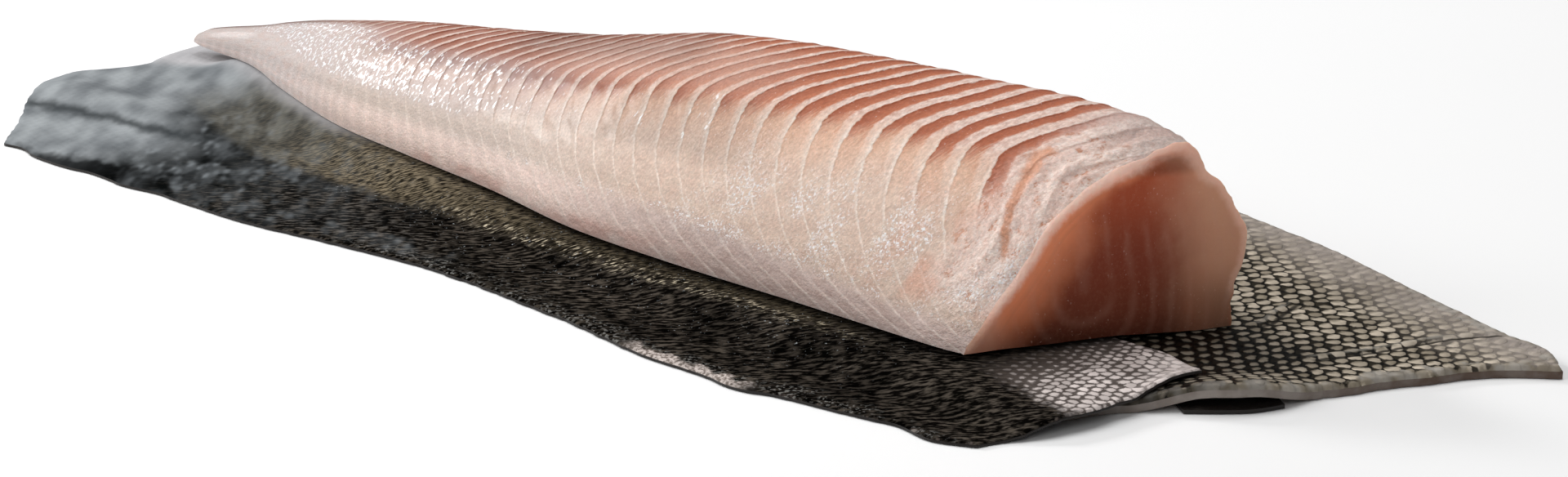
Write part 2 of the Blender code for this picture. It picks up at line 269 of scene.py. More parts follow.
class Finish:
    """A material in the making: its shader tree and the few nodes all finishes use."""

    def __init__(self, name: str, **constants: Any) -> None:
        """Starts a material.

        Args:
            name: the material's name.
            constants: values of the shader's own sockets, with _ for a space.
        """
        self.material = bpy.data.materials.new(name)
        self.material.use_nodes = True
        self.tree = self.material.node_tree
        self.shader = self.tree.nodes["Principled BSDF"]
        for socket, value in constants.items():
            self.shader.inputs[socket.replace("_", " ")].default_value = value

    def node(self, kind: str, settings: dict[str, Any], inputs: dict[Any, Any],
             output: Any = 0) -> Wire:
        """Adds a node.

        Args:
            kind: the node's type.
            settings: its properties, set first.
            inputs: values or wires for its sockets, by name or number.
            output: the socket that is returned.

        Returns:
            The wire from that socket.
        """
        made = self.tree.nodes.new(kind)
        for name, value in settings.items():
            setattr(made, name, value)
        for name, value in inputs.items():
            self._feed(made.inputs[name], value)
        return Wire(self, made.outputs[output])

    def _feed(self, socket: bpy.types.NodeSocket, value: Any) -> None:
        """Links a wire to a socket, or sets the socket's value.

        Args:
            socket: the socket that is fed.
            value: a wire, a number or a colour.
        """
        if isinstance(value, Wire):
            self.tree.links.new(value.socket, socket)
        elif isinstance(value, tuple) and len(value) == 3 and socket.type == "RGBA":
            socket.default_value = (*value, 1)
        else:
            socket.default_value = value

    def math(self, operation: str, *values: Any) -> Wire:
        """One Math node."""
        return self.node("ShaderNodeMath", {"operation": operation}, dict(enumerate(values)))

    def mix(self, share: Any, first: Any, second: Any) -> Wire:
        """Mixture of two colours, the second by its share."""
        return self.node("ShaderNodeMix", {"data_type": "RGBA"},
                         {0: share, 6: first, 7: second}, output=2)

    def scaled(self, colour: Any, tone: Any) -> Wire:
        """A colour made lighter or darker by a value."""
        return self.node("ShaderNodeVectorMath", {"operation": "SCALE"},
                         {0: colour, "Scale": tone})

    def attribute(self, name: str) -> Wire:
        """A number that the mesh carries at its vertices."""
        return self.node("ShaderNodeAttribute", {"attribute_name": name}, {}, output="Fac")

    def place(self) -> tuple[Wire, Wire, Wire]:
        """Bench coordinates of the shaded point, in millimetres.

        Returns:
            x, y and z.
        """
        spot = self.node("ShaderNodeTexCoord", {}, {}, output="Object")
        split = [self.node("ShaderNodeSeparateXYZ", {}, {0: spot}, output=i) for i in range(3)]
        x, y, z = (axis * MILLIMETRES for axis in split)
        return x - BENCH.x, y - BENCH.y, z

    def vector(self, x: Any, y: Any, z: Any = 0.0) -> Wire:
        """A vector from three values."""
        return self.node("ShaderNodeCombineXYZ", {}, {0: x, 1: y, 2: z})

    def noise(self, spot: Wire, size: float, detail: float = 2.0,
              roughness: float = 0.5, warp: float = 0.0) -> Wire:
        """Cloudy noise from 0 to 1 whose patches are about `size` long.

        Args:
            spot: where it is read.
            size: length of its patches.
            detail: how many finer layers it has.
            roughness: how strong those are.
            warp: how far it is distorted.

        Returns:
            The noise.
        """
        inputs = {"Vector": spot, "Scale": 1 / size, "Detail": detail,
                  "Roughness": roughness, "Distortion": warp}
        return self.node("ShaderNodeTexNoise", {}, inputs)

    def chance(self, line: Wire, number: Wire) -> Wire:
        """A random value from 0 to 1 for each scale, by its line and its place in the line."""
        return self.node("ShaderNodeTexWhiteNoise", {"noise_dimensions": "2D"},
                         {0: self.vector(line, number)})

    def bump(self, height: Wire, distance: float, strength: float = 1.0,
             under: Wire | None = None) -> Wire:
        """Normal bent by a height of 0 to 1 that stands for a distance in millimetres.

        Args:
            height: the height.
            distance: what a height of 1 stands for.
            strength: share of the bend.
            under: the normal that it bends, or the surface's own.

        Returns:
            The bent normal.
        """
        inputs = {"Height": height, "Distance": distance * MM, "Strength": strength}
        if under is not None:
            inputs["Normal"] = under
        return self.node("ShaderNodeBump", {}, inputs)

    def dress(self, **sockets: Wire) -> bpy.types.Material:
        """Feeds the shader's sockets, named with _ for a space.

        Args:
            sockets: the wire for each socket.

        Returns:
            The finished material.
        """
        for name, wire in sockets.items():
            self._feed(self.shader.inputs[name.replace("_", " ")], wire)
        return self.material


# ------------------------------------------------------------------ modelling by hand
def deselect_all() -> None:
    """Leaves nothing selected."""
    if bpy.context.mode != "OBJECT":
        bpy.ops.object.mode_set(mode="OBJECT")
    bpy.ops.object.select_all(action="DESELECT")


def make_active(thing: bpy.types.Object) -> None:
    """Selects one object alone and makes it active.

    Args:
        thing: the object.
    """
    deselect_all()
    thing.select_set(True)
    bpy.context.view_layer.objects.active = thing


def add_grid(name: str, points: np.ndarray) -> bpy.types.Object:
    """Adds a primitive grid and bends it to a surface.

    Args:
        name: the new object's name.
        points: rows by columns by 3, in bench millimetres.

    Returns:
        The object, selected and active.
    """
    deselect_all()
    rows, columns = points.shape[:2]
    bpy.ops.mesh.primitive_grid_add(x_subdivisions=columns - 1, y_subdivisions=rows - 1,
                                    size=1, calc_uvs=False, location=(0, 0, 0))
    thing = bpy.context.object
    thing.name = thing.data.name = name
    thing.data.vertices.foreach_set("co", BENCH.place(points.reshape(-1, 3)).ravel())
    thing.data.update()
    return thing


def carry(thing: bpy.types.Object, name: str, values: np.ndarray) -> None:
    """Writes one number per vertex into the mesh, for the finish to read."""
    attribute = thing.data.attributes.new(name, "FLOAT", "POINT")
    attribute.data.foreach_set("value", np.asarray(values, np.float32).ravel())


def carried(thing: bpy.types.Object, name: str) -> np.ndarray:
    """Reads back a number per vertex.

    Args:
        thing: the object that carries it.
        name: its name.

    Returns:
        The numbers, in the order of the vertices.
    """
    values = np.zeros(len(thing.data.vertices), np.float32)
    thing.data.attributes[name].data.foreach_get("value", values)
    return values


def add_slots(thing: bpy.types.Object, count: int) -> None:
    """Gives a mesh empty material slots, which its finishes fill later."""
    for _ in range(count):
        thing.data.materials.append(None)


def thicken(thing: bpy.types.Object, thickness: float, raw_slot: int = 0) -> None:
    """Gives a sheet its thickness, upwards.

    Args:
        thing: the sheet.
        thickness: in millimetres.
        raw_slot: the material slot of its other side and its rim.
    """
    solid = thing.modifiers.new("thickness", "SOLIDIFY")
    solid.thickness = thickness * MM
    solid.offset = 1
    solid.use_even_offset = False
    solid.material_offset = solid.material_offset_rim = raw_slot
    make_active(thing)
    bpy.ops.object.modifier_apply(modifier=solid.name)


def bench_points(thing: bpy.types.Object) -> np.ndarray:
    """The vertices of a mesh, in bench millimetres.

    Args:
        thing: the object with the mesh.

    Returns:
        One row of x, y and z for each vertex.
    """
    flat = np.zeros(len(thing.data.vertices) * 3)
    thing.data.vertices.foreach_get("co", flat)
    return flat.reshape(-1, 3) * MILLIMETRES - np.array((BENCH.x, BENCH.y, 0.0))


def set_bench_points(thing: bpy.types.Object, points: np.ndarray) -> None:
    """Moves the vertices of a mesh."""
    thing.data.vertices.foreach_set("co", BENCH.place(points).ravel())
    thing.data.update()


def select_boundary(test: Callable[[Vector], bool]) -> None:
    """In edit mode, selects the open edges whose middle, in model metres, passes a test.

    Args:
        test: says whether an edge with this middle is selected.
    """
    model = bmesh.from_edit_mesh(bpy.context.object.data)
    bpy.ops.mesh.select_mode(type="EDGE")
    bpy.ops.mesh.select_all(action="DESELECT")
    for edge in model.edges:
        middle = (edge.verts[0].co + edge.verts[1].co) / 2
        edge.select = edge.is_boundary and test(middle)
    model.select_flush(True)
    bmesh.update_edit_mesh(bpy.context.object.data)


def close_with_rings(shares: tuple[float, ...], goal: Callable[[Vector], Vector]) -> None:
    """In edit mode, closes the selected open loop by ever smaller rings.

    Args:
        shares: how far each ring still is from its goal, as a share of the loop, falling.
        goal: the point towards which a point of the ring moves, both in model metres.
    """
    size = 1.0
    for share in shares:
        bpy.ops.mesh.extrude_edges_move()
        model = bmesh.from_edit_mesh(bpy.context.object.data)
        for vertex in model.verts:
            if vertex.select:
                vertex.co = vertex.co.lerp(goal(vertex.co), 1 - share / size)
        bmesh.update_edit_mesh(bpy.context.object.data)
        size = share
    bpy.ops.mesh.fill(use_beauty=True)


# ------------------------------------------------------------------ the loin
@dataclass(frozen=True)
class LoinForm:
    """Sizes of the loin, in millimetres, and the curves they give."""

    length: float = 389.0
    cut_slant: float = 0.396        # the cut runs this far headward per mm across
    slant_fade: float = 120.0
    buried: float = 14.0
    sections: Points = (            # behind the cut, belly edge y, back edge y, crest height
        (0, 0.0, 72.0, 50.5), (12, -1.2, 72.6, 53.8), (30, -2.3, 73.0, 55.0),
        (60, -4.0, 73.0, 53.8), (105, -7.0, 71.2, 51.4), (150, -7.6, 68.0, 47.0),
        (195, -2.0, 63.0, 38.2), (240, 1.0, 58.0, 31.8), (280, 4.5, 53.0, 26.8),
        (325, 15.5, 47.0, 18.6), (345, 22.0, 43.0, 14.0), (357, 24.5, 40.0, 10.8),
        (382, 25.0, 34.0, 5.4), (389, 26.5, 31.0, 2.5),
    )
    # unit outlines from belly edge over the crest to back edge: share of width, of height
    head_outline: Points = (
        (0, 0), (.055, .11), (.17, .35), (.31, .63), (.46, .83), (.64, .94),
        (.80, 1), (.875, .855), (.965, .68), (1.04, .45), (1.0, .19), (.99, 0))
    body_outline: Points = (
        (0, 0), (.02, .15), (.09, .36), (.22, .60), (.38, .82), (.56, .95),
        (.72, 1), (.86, .90), (.97, .68), (1.04, .40), (1.02, .15), (1, 0))
    tail_outline: Points = (
        (0, 0), (.01, .20), (.08, .45), (.20, .68), (.35, .87), (.50, .98),
        (.60, 1), (.75, .92), (.88, .70), (.97, .42), (1.01, .18), (1, 0))
    outline_mix: Points = (         # behind the cut, shares of head, body and tail outline
        (0, 1, 0, 0), (60, .35, .65, 0), (150, 0, 1, 0), (300, 0, .15, .85), (389, 0, 0, 1))
    first_flake: float = -3.4
    flake_pitch: Points = (
        (-60, 9.5), (0, 9.5), (60, 9.3), (110, 8.9), (160, 8.55), (200, 7.95),
        (230, 7.2), (260, 6.5), (300, 6.0), (389, 5.0))
    lean_girth: tuple[float, ...] = (
        0, .05, .10, .15, .20, .25, .30, .36, .42, .48, .55, .66, 1)
    leans: tuple = (                # behind the cut, how far an edge leans headward there
        (20, (54, 43, 31, 21, 12.5, 6, 2, 0, 3, 6, 9, 9, -6)),
        (60, (54, 43, 31, 21, 12.5, 6, 2, 0, 5, 11, 14, 14, -4)),
        (120, (50, 40, 29, 20, 12.5, 6, 2, 0, 8, 18, 26, 32, 14)),
        (190, (34, 30, 24, 17, 9, 4, 1, 0, 10, 21, 30, 38, 20)),
        (240, (20, 19, 17, 13, 7, 3, 1, 0, 6, 14, 21, 28, 14)),
        (290, (8, 8, 7, 6, 4, 2, 1, 0, 3, 7, 12, 18, 10)),
        (389, (0, 0, 0, 0, 0, 0, 0, 0, 0, 0, 0, 0, 0)))
    flakes_fade: tuple[float, float] = (250.0, 330.0)
    step_girth: tuple[float, ...] = (0, .12, .22, .32, .40, .60, .80, 1)
    step_height: tuple[float, ...] = (.05, .06, .05, .08, .22, .28, .22, .16)
    step_profile: Points = (        # place within a flake, share of its step
        (-.04, 0), (-.02, .2), (.005, .9), (.03, 1), (.15, .9), (.32, .55), (.5, .25),
        (.75, .06), (.96, 0))
    seam: Points = ((-20, .085), (40, .10), (100, .15), (230, .16), (300, .155), (389, .15))
    seam_depth: float = 0.2
    seam_width: float = .026        # as a share of the girth
    bed: float = 5.2                # height of what the loin lies on
    sag: float = 1.5                # its back edge sinks this far, past the near strip
    sag_from: float = 45.0
    sag_to: float = 57.0
    settle_height: float = 12.0     # above this the sag of the bed no longer shows

    def outline(self, behind: np.ndarray, girth: np.ndarray) -> tuple[np.ndarray, np.ndarray]:
        """y, and height over the bed, of the loin's plain surface.

        Args:
            behind: distances behind the cut.
            girth: shares of the way from belly edge to back edge.

        Returns:
            The y values, then the heights.
        """
        shares = np.linspace(0, 1, len(self.head_outline))
        width, height = 0, 0
        outlines = (self.head_outline, self.body_outline, self.tail_outline)
        for index, outline in enumerate(outlines, start=1):
            part = column(self.outline_mix, index, behind)
            point = track(shares, outline, girth)
            width = width + part * point[..., 0]
            height = height + part * point[..., 1]
        belly = column(self.sections, 1, behind)
        back = column(self.sections, 2, behind)
        return belly + (back - belly) * width, column(self.sections, 3, behind) * height

    def flake_places(self) -> np.ndarray:
        """Distances behind the cut of all flake edges, at the line where they bend.

        Returns:
            The distances, rising.
        """
        places = [self.first_flake]
        while places[-1] < self.length:
            places.append(places[-1] + np.interp(places[-1], *zip(*self.flake_pitch)))
        return np.array(places)

    def lean(self, bend: np.ndarray, girth: np.ndarray) -> np.ndarray:
        """How far a flake edge that bends at `bend` lies headward at each girth share.

        Args:
            bend: distances behind the cut of the edges' bends.
            girth: shares of the girth.

        Returns:
            Millimetres, one for each pair.
        """
        stations = np.array([row[0] for row in self.leans], float)
        leans = np.array([track(self.lean_girth, row[1], girth) for row in self.leans])
        at = np.interp(bend, stations, np.arange(len(stations)))
        at = np.clip(at, 0, len(stations) - 1.001)
        low = at.astype(int)
        share = at - low
        pick = np.take_along_axis
        return (pick(leans, low[None], 0)[0] * (1 - share)
                + pick(leans, low[None] + 1, 0)[0] * share)

    def bed_height(self, y: Any) -> np.ndarray:
        """Height of what the loin lies on at a distance across it."""
        return self.bed - self.sag * ease(y, self.sag_from, self.sag_to)

    def lift(self, x: np.ndarray, y: np.ndarray, height: np.ndarray) -> np.ndarray:
        """Points of the surface at a height over the bed.

        Args:
            x: bench x.
            y: bench y.
            height: height over the bed.

        Returns:
            x, y and z of each point.
        """
        settled = ease(height, 0, self.settle_height)
        z = height + self.bed_height(y) * (1 - settled) + self.bed * settled
        return np.stack([x, y, z], axis=-1)


@dataclass(frozen=True)
class Loin:
    """The skinned loin: flake ridges, seam, torn head end and the flat knife cut."""

    form: LoinForm = LoinForm()
    columns: int = 136
    bed_columns: int = 6
    flake_rows: tuple[float, ...] = (
        -.04, -.02, .005, .03, .08, .15, .23, .32, .41, .50, .60, .70, .80, .90)
    tail_rows: tuple[float, ...] = (0, .2, .4, .6, .8)
    wobble: float = 0.45            # flake edges stray by this much
    wobble_fade: tuple[float, float] = (370.0, 385.0)   # behind the cut, as all fades here
    fibre_height: float = 0.10      # soft waviness of the flesh
    fibre_fade: tuple[float, float] = (170.0, 270.0)
    seam_fade: tuple[float, float] = (300.0, 380.0)
    torn_from: float = 26.0         # the surface is torn this near to the cut
    torn_height: float = 0.55
    cut_middle: Points = ((15, 12), (60, 30))        # y and z of the line on which its rings close
    cut_rings: tuple[float, ...] = (
        .985, .965, .94, .91, .87, .82, .76, .69, .61, .52, .43, .34, .25, .17, .1, .05)
    cut_depth: float = 0.2          # the cut is dished by this much, within `dish_width`
    dish_width: float = 3.0
    cut_rounding: float = 1.1       # the cut's rim is rounded off by this much, over this width
    cut_rounding_width: float = 2.5
    cut_flatness: float = 0.02      # what lies this near to the cut's plane is on the cut
    hollow_spot: tuple[float, float] = (51.0, 51.0)     # y and z of the hollow under its top
    hollow_reach: tuple[float, float] = (7.5, 2.6)
    hollow_depth: float = 3.2
    tail_tip: tuple[float, float, float] = (.6, 28.8, 1.1)  # past the end, across, over the bed
    tail_rings: tuple[float, ...] = (.8, .5, .2)
    grooves: tuple[Points, ...] = (  # red grooves at the head end: girth share, behind the cut
        ((.19, 4.5), (.24, 9.0), (.29, 12.5), (.34, 15.5), (.41, 17.5)),
    )
    groove_depth: float = 0.35
    groove_width: float = 2.2

    def rows(self) -> tuple[np.ndarray, np.ndarray]:
        """Distance behind the cut at the bend, and the flake count, of each row.

        Returns:
            The distances, then the counts.
        """
        places = self.form.flake_places()
        rows = [(-self.form.buried, -1.0)]
        for number, place in enumerate(places[:-1]):
            pitch = places[number + 1] - place
            shares = self.flake_rows if place < self.form.flakes_fade[1] else self.tail_rows
            rows += [(place + share * pitch, number + share) for share in shares]
        last = rows[-1][1]
        rows = [row for row in rows if row[0] < self.form.length - 1.2]
        rows += [(self.form.length - 0.8, last), (self.form.length, last)]
        return np.array([row[0] for row in rows]), np.array([row[1] for row in rows])

    def surface(self) -> tuple[np.ndarray, dict[str, np.ndarray]]:
        """The rounded surface, rows along the flake edges.

        Returns:
            Points in bench millimetres, and the numbers that the finish reads.
        """
        form = self.form
        bend, flake = self.rows()
        girth = np.linspace(0, 1, self.columns + 1) * np.ones((len(bend), 1))
        bend = bend[:, None] * np.ones(self.columns + 1)
        flake = flake[:, None] * np.ones(self.columns + 1)
        stray = self.wobble * grain(flake * 0.8, girth * 14, seed=3)
        stray += 0.5 * self.wobble * grain(flake * 1.3, girth * 45, seed=4)
        stray *= 1 - ease(bend, *self.wobble_fade)
        behind = bend - form.lean(bend, girth) + stray
        y, height = form.outline(behind, girth)

        nudge = 1e-3
        ahead = form.outline(behind, np.clip(girth + nudge, 0, 1))
        back = form.outline(behind, np.clip(girth - nudge, 0, 1))
        normal = np.stack([back[1] - ahead[1], ahead[0] - back[0]], axis=-1)
        normal /= np.linalg.norm(normal, axis=-1, keepdims=True)

        foot = self.flake_rows[0]
        share = np.mod(flake - foot, 1) + foot
        fade = 1 - ease(behind, *form.flakes_fade)
        step = column(form.step_profile, 1, share)
        step = step * np.interp(girth, form.step_girth, form.step_height) * fade
        step = step * (1 + .5 * grain(flake * 0.9, girth * 18, seed=5))
        seam_at = column(form.seam, 1, behind)
        seam = form.seam_depth * np.exp(-((girth - seam_at) / form.seam_width) ** 2)
        seam = seam * (1 - ease(behind, *self.seam_fade))
        around = girth * LOIN_GIRTH
        slanted, crossed = behind + .6 * around, around - .6 * behind
        fibre = (grain(slanted / 5, crossed / 2, seed=6)
                 + .7 * grain(crossed / 2.4, slanted / 3.5, seed=7))
        fibre = fibre * self.fibre_height * (1 - ease(behind, *self.fibre_fade))
        torn = 1 - ease(behind, self.torn_from * .35, self.torn_from)
        torn = torn * ease(girth, .12, .2)
        crumbs = (grain(behind / 2.6, around / 6, seed=8)
                  + .6 * grain(behind / 1.5, around / 2.4, seed=9))
        fibre += torn * self.torn_height * crumbs
        groove = np.zeros_like(girth)
        for curve in self.grooves:
            off = near_curve(behind, girth, curve) + 1.2 * grain(around / 3, 0, seed=10)
            off = off / (self.groove_width * (.6 + ease(girth, .25, .4)))
            groove = np.maximum(groove, np.exp(-off ** 2) * within(girth, curve, .03))
        relief = step + fibre - seam - groove * self.groove_depth
        rim = ease(girth, 0, .012) * (1 - ease(girth, .985, 1))
        relief = relief * rim
        y = y + relief * normal[..., 0]
        height = np.maximum(height + relief * normal[..., 1], 0)
        slant = form.cut_slant * y * np.clip(1 - behind / form.slant_fade, 0, 1)
        points = form.lift(-behind + slant, y, height)
        points[..., 2] = np.minimum(points[..., 2], TALLEST)
        return points, {"flake": flake, "girth": girth, "behind": behind, "groove": groove}

    def build(self) -> bpy.types.Object:
        """Models the loin.

        Returns:
            The loin, with one empty material slot for its surface and one for its cut.
        """
        points, numbers = self.surface()
        first, last = points[:, :1], points[:, -1:]
        shares = np.linspace(0, 1, self.bed_columns + 2)[1:]
        under = last + (first - last) * shares[None, :, None]
        under[..., 2] = self.form.bed_height(under[..., 1])
        under[:, -1] = points[:, 0]
        thing = add_grid("loin", np.concatenate([points, under], axis=1))
        for name, values in numbers.items():
            beneath = np.repeat(values[:, :1], under.shape[1], axis=1)
            carry(thing, name, np.concatenate([values, beneath], axis=1))
        self._close(thing)
        self._carve_cut(thing)
        return thing

    def _close(self, thing: bpy.types.Object) -> None:
        """Rolls the grid shut, slices it at the knife cut and closes both ends.

        Args:
            thing: the loin's grid.
        """
        slant = self.form.cut_slant
        corner = BENCH.point(0, 0, 0)
        bpy.ops.object.mode_set(mode="EDIT")
        bpy.ops.mesh.select_all(action="SELECT")
        bpy.ops.mesh.remove_doubles(threshold=WELD)
        bpy.ops.mesh.select_all(action="SELECT")
        bpy.ops.mesh.bisect(plane_co=corner, plane_no=(1, -slant, 0), clear_outer=True,
                            threshold=SLICE)
        middle = BENCH.point(-self.form.length / 2, 0, 0).x
        select_boundary(lambda spot: spot.x > middle)
        close_with_rings(self.cut_rings, self._cut_goal)
        select_boundary(lambda spot: spot.x < middle)
        past, across, over = self.tail_tip
        tip = BENCH.point(-self.form.length - past, across, self.form.bed + over)
        close_with_rings(self.tail_rings, lambda spot: tip)
        bpy.ops.mesh.select_all(action="SELECT")
        bpy.ops.mesh.normals_make_consistent(inside=False)
        bpy.ops.object.mode_set(mode="OBJECT")

    def _cut_goal(self, spot: Vector) -> Vector:
        """The point of the cut's middle line beside a point of the cut.

        Args:
            spot: the point of the cut, in model metres.

        Returns:
            The point of the middle line, in model metres.
        """
        (y0, z0), (y1, z1) = self.cut_middle
        y = min(max(spot.y * MILLIMETRES - BENCH.y, y0), y1)
        z = z0 + (z1 - z0) * (y - y0) / (y1 - y0)
        return BENCH.point(self.form.cut_slant * y, y, z)

    def on_cut(self, points: np.ndarray) -> np.ndarray:
        """True for the points that lie on the knife cut."""
        return np.abs(points[:, 0] - self.form.cut_slant * points[:, 1]) < self.cut_flatness

    def _carve_cut(self, thing: bpy.types.Object) -> None:
        """Gives the cut face its second material slot, its softened rim and its hollow.

        Args:
            thing: the closed loin.
        """
        mesh = thing.data
        points = bench_points(thing)
        flat = self.on_cut(points)
        corners = np.zeros(len(mesh.loops), int)
        mesh.loops.foreach_get("vertex_index", corners)
        starts = np.zeros(len(mesh.polygons), int)
        mesh.polygons.foreach_get("loop_start", starts)
        face_flat = np.minimum.reduceat(flat[corners].astype(int), starts)
        add_slots(thing, 2)
        mesh.polygons.foreach_set("material_index", face_flat)
        y, z = points[:, 1], points[:, 2]
        (spot_y, spot_z), (reach_y, reach_z) = self.hollow_spot, self.hollow_reach
        hollow = np.exp(-((y - spot_y) / reach_y) ** 2 - ((z - spot_z) / reach_z) ** 2)
        hollow = hollow * self.hollow_depth
        waves = .35 * grain(y / 11, z / 30, seed=11) + .18 * grain(y / 4, z / 16, seed=12)
        edges = np.zeros(len(mesh.edges) * 2, int)
        mesh.edges.foreach_get("vertices", edges)
        edges = edges.reshape(-1, 2)
        crossing = flat[edges[:, 0]] != flat[edges[:, 1]]
        rim = np.zeros(len(points), bool)
        rim[edges[crossing].ravel()] = True
        side = points[rim & flat & (z > self.form.bed + 1.5)]
        inset = np.zeros(len(points))
        away = points[flat][:, None] - side[None]
        inset[flat] = np.linalg.norm(away, axis=-1).min(axis=1)
        carry(thing, "inset", inset)
        slope = math.hypot(1, self.form.cut_slant)
        away_from_cut = (self.form.cut_slant * y - points[:, 0]) / slope
        width = self.cut_rounding_width
        rounding = self.cut_rounding * np.clip(1 - inset / width, 0, 1) ** 2
        follow = self.cut_rounding * np.clip(1 - away_from_cut / (2 * width), 0, 1)
        dish = (self.cut_depth + hollow + waves) * ease(inset, 0, self.dish_width)
        depth = np.where(flat, rounding + dish, follow)
        points[:, 0] -= depth / slope
        points[:, 1] += depth * self.form.cut_slant / slope
        set_bench_points(thing, points)


# ------------------------------------------------------------------ the strips of skin
@dataclass(frozen=True)
class ScaleLattice:
    """Fish scales that overlap like tiles: each line half a scale out of step with the last."""

    length: float                   # from one line of scales to the next
    width: float
    turn: float                     # direction in which the free edges point, in radians
    bulge: float = 0.6              # how far a free edge bows out over the next line
    sway: float = 0.16              # how far the lines wander

    def cells(self, x: Any, y: Any) -> tuple[Any, Any, Any, Any]:
        """Where a point lies on its scale; takes arrays and wires alike.

        Args:
            x: bench x in millimetres.
            y: bench y in millimetres.

        Returns:
            Distance from the middle of the scale's crown, 1 at its rim; distance back from its
            free edge, in scale lengths; then the scale's line and its place in the line.
        """
        along = (x * math.cos(self.turn) + y * math.sin(self.turn)) / self.length
        across = (y * math.cos(self.turn) - x * math.sin(self.turn)) / self.width
        along = along + self.sway * sine(along * .33 + across * .61)
        across = across + self.sway * sine(along * .47 - across * .29)
        line = floor(along)
        past = along - line
        odd = line - 2 * floor(line / 2)
        own_spot = across + .5 * odd
        over_spot = across + .5 - .5 * odd
        own = own_spot - floor(own_spot) - .5
        over = over_spot - floor(over_spot) - .5
        covered = self.bulge * (1 - 4 * over * over) > past
        clear = 1 - covered
        to_tip = self.bulge - past + clear
        side = covered * over + clear * own
        edge = self.bulge * (1 - 4 * side * side) - past + clear
        line = line - covered
        number = covered * floor(over_spot) + clear * floor(own_spot)
        rootward = (to_tip - .58 - .06 * sine(line * 1.7 + number * 2.9)) / .52
        sideways = (side - .05 * sine(line * 2.3 - number * 1.3)) / .44
        radius = (rootward * rootward + sideways * sideways) ** .5
        return radius, edge, line, number


def edge_curve(points: Points, shares: np.ndarray) -> np.ndarray:
    """Smooth curve through an edge's points, spaced by arc length.

    Args:
        points: x and y of the edge's points.
        shares: places along it, from 0 to 1.

    Returns:
        x and y for each share.
    """
    spots = np.array(points, float)
    length = np.concatenate([[0], np.cumsum(np.linalg.norm(np.diff(spots, axis=0), axis=1))])
    return track(length / length[-1], spots, shares)


def patch(edges: tuple[Points, ...], spans: tuple[int, int], crowding: float) -> np.ndarray:
    """Coons patch between four edges.

    Args:
        edges: near, back, tail and head edge.
        spans: spans along and across.
        crowding: how much closer the rows lie at the head end.

    Returns:
        Rows from head to tail of x and y.
    """
    near, back, tail, head = edges
    u = np.linspace(0, 1, spans[0] + 1)
    u = u + crowding * np.sin(np.pi * u)
    v = np.linspace(0, 1, spans[1] + 1)
    low, high = edge_curve(near, u)[:, None], edge_curve(back, u)[:, None]
    left, right = edge_curve(tail, v)[None], edge_curve(head, v)[None]
    u, v = u[:, None, None], v[None, :, None]
    corners = ((1 - u) * (1 - v) * low[0, 0] + u * (1 - v) * low[-1, 0]
               + (1 - u) * v * high[0, 0] + u * v * high[-1, 0])
    return ((1 - v) * low + v * high + (1 - u) * left + u * right - corners)[::-1]


def edge_distance(plan: np.ndarray) -> np.ndarray:
    """How far each point of a grid lies from the grid's border, measured along its lines.

    Args:
        plan: rows by columns of x and y.

    Returns:
        One distance for each point.
    """
    far = np.full(plan.shape[:2], 1e9)
    for axis in (0, 1):
        steps = np.linalg.norm(np.diff(plan, axis=axis), axis=-1)
        pad = [(0, 0), (0, 0)]
        pad[axis] = (1, 0)
        run = np.cumsum(np.pad(steps, pad), axis=axis)
        total = run.take([-1], axis=axis)
        far = np.minimum(far, np.minimum(run, total - run))
    return far


class Lay(Enum):
    """What a strip of skin lies on."""

    SURFACE = "surface"
    FAR_STRIP = "far strip"


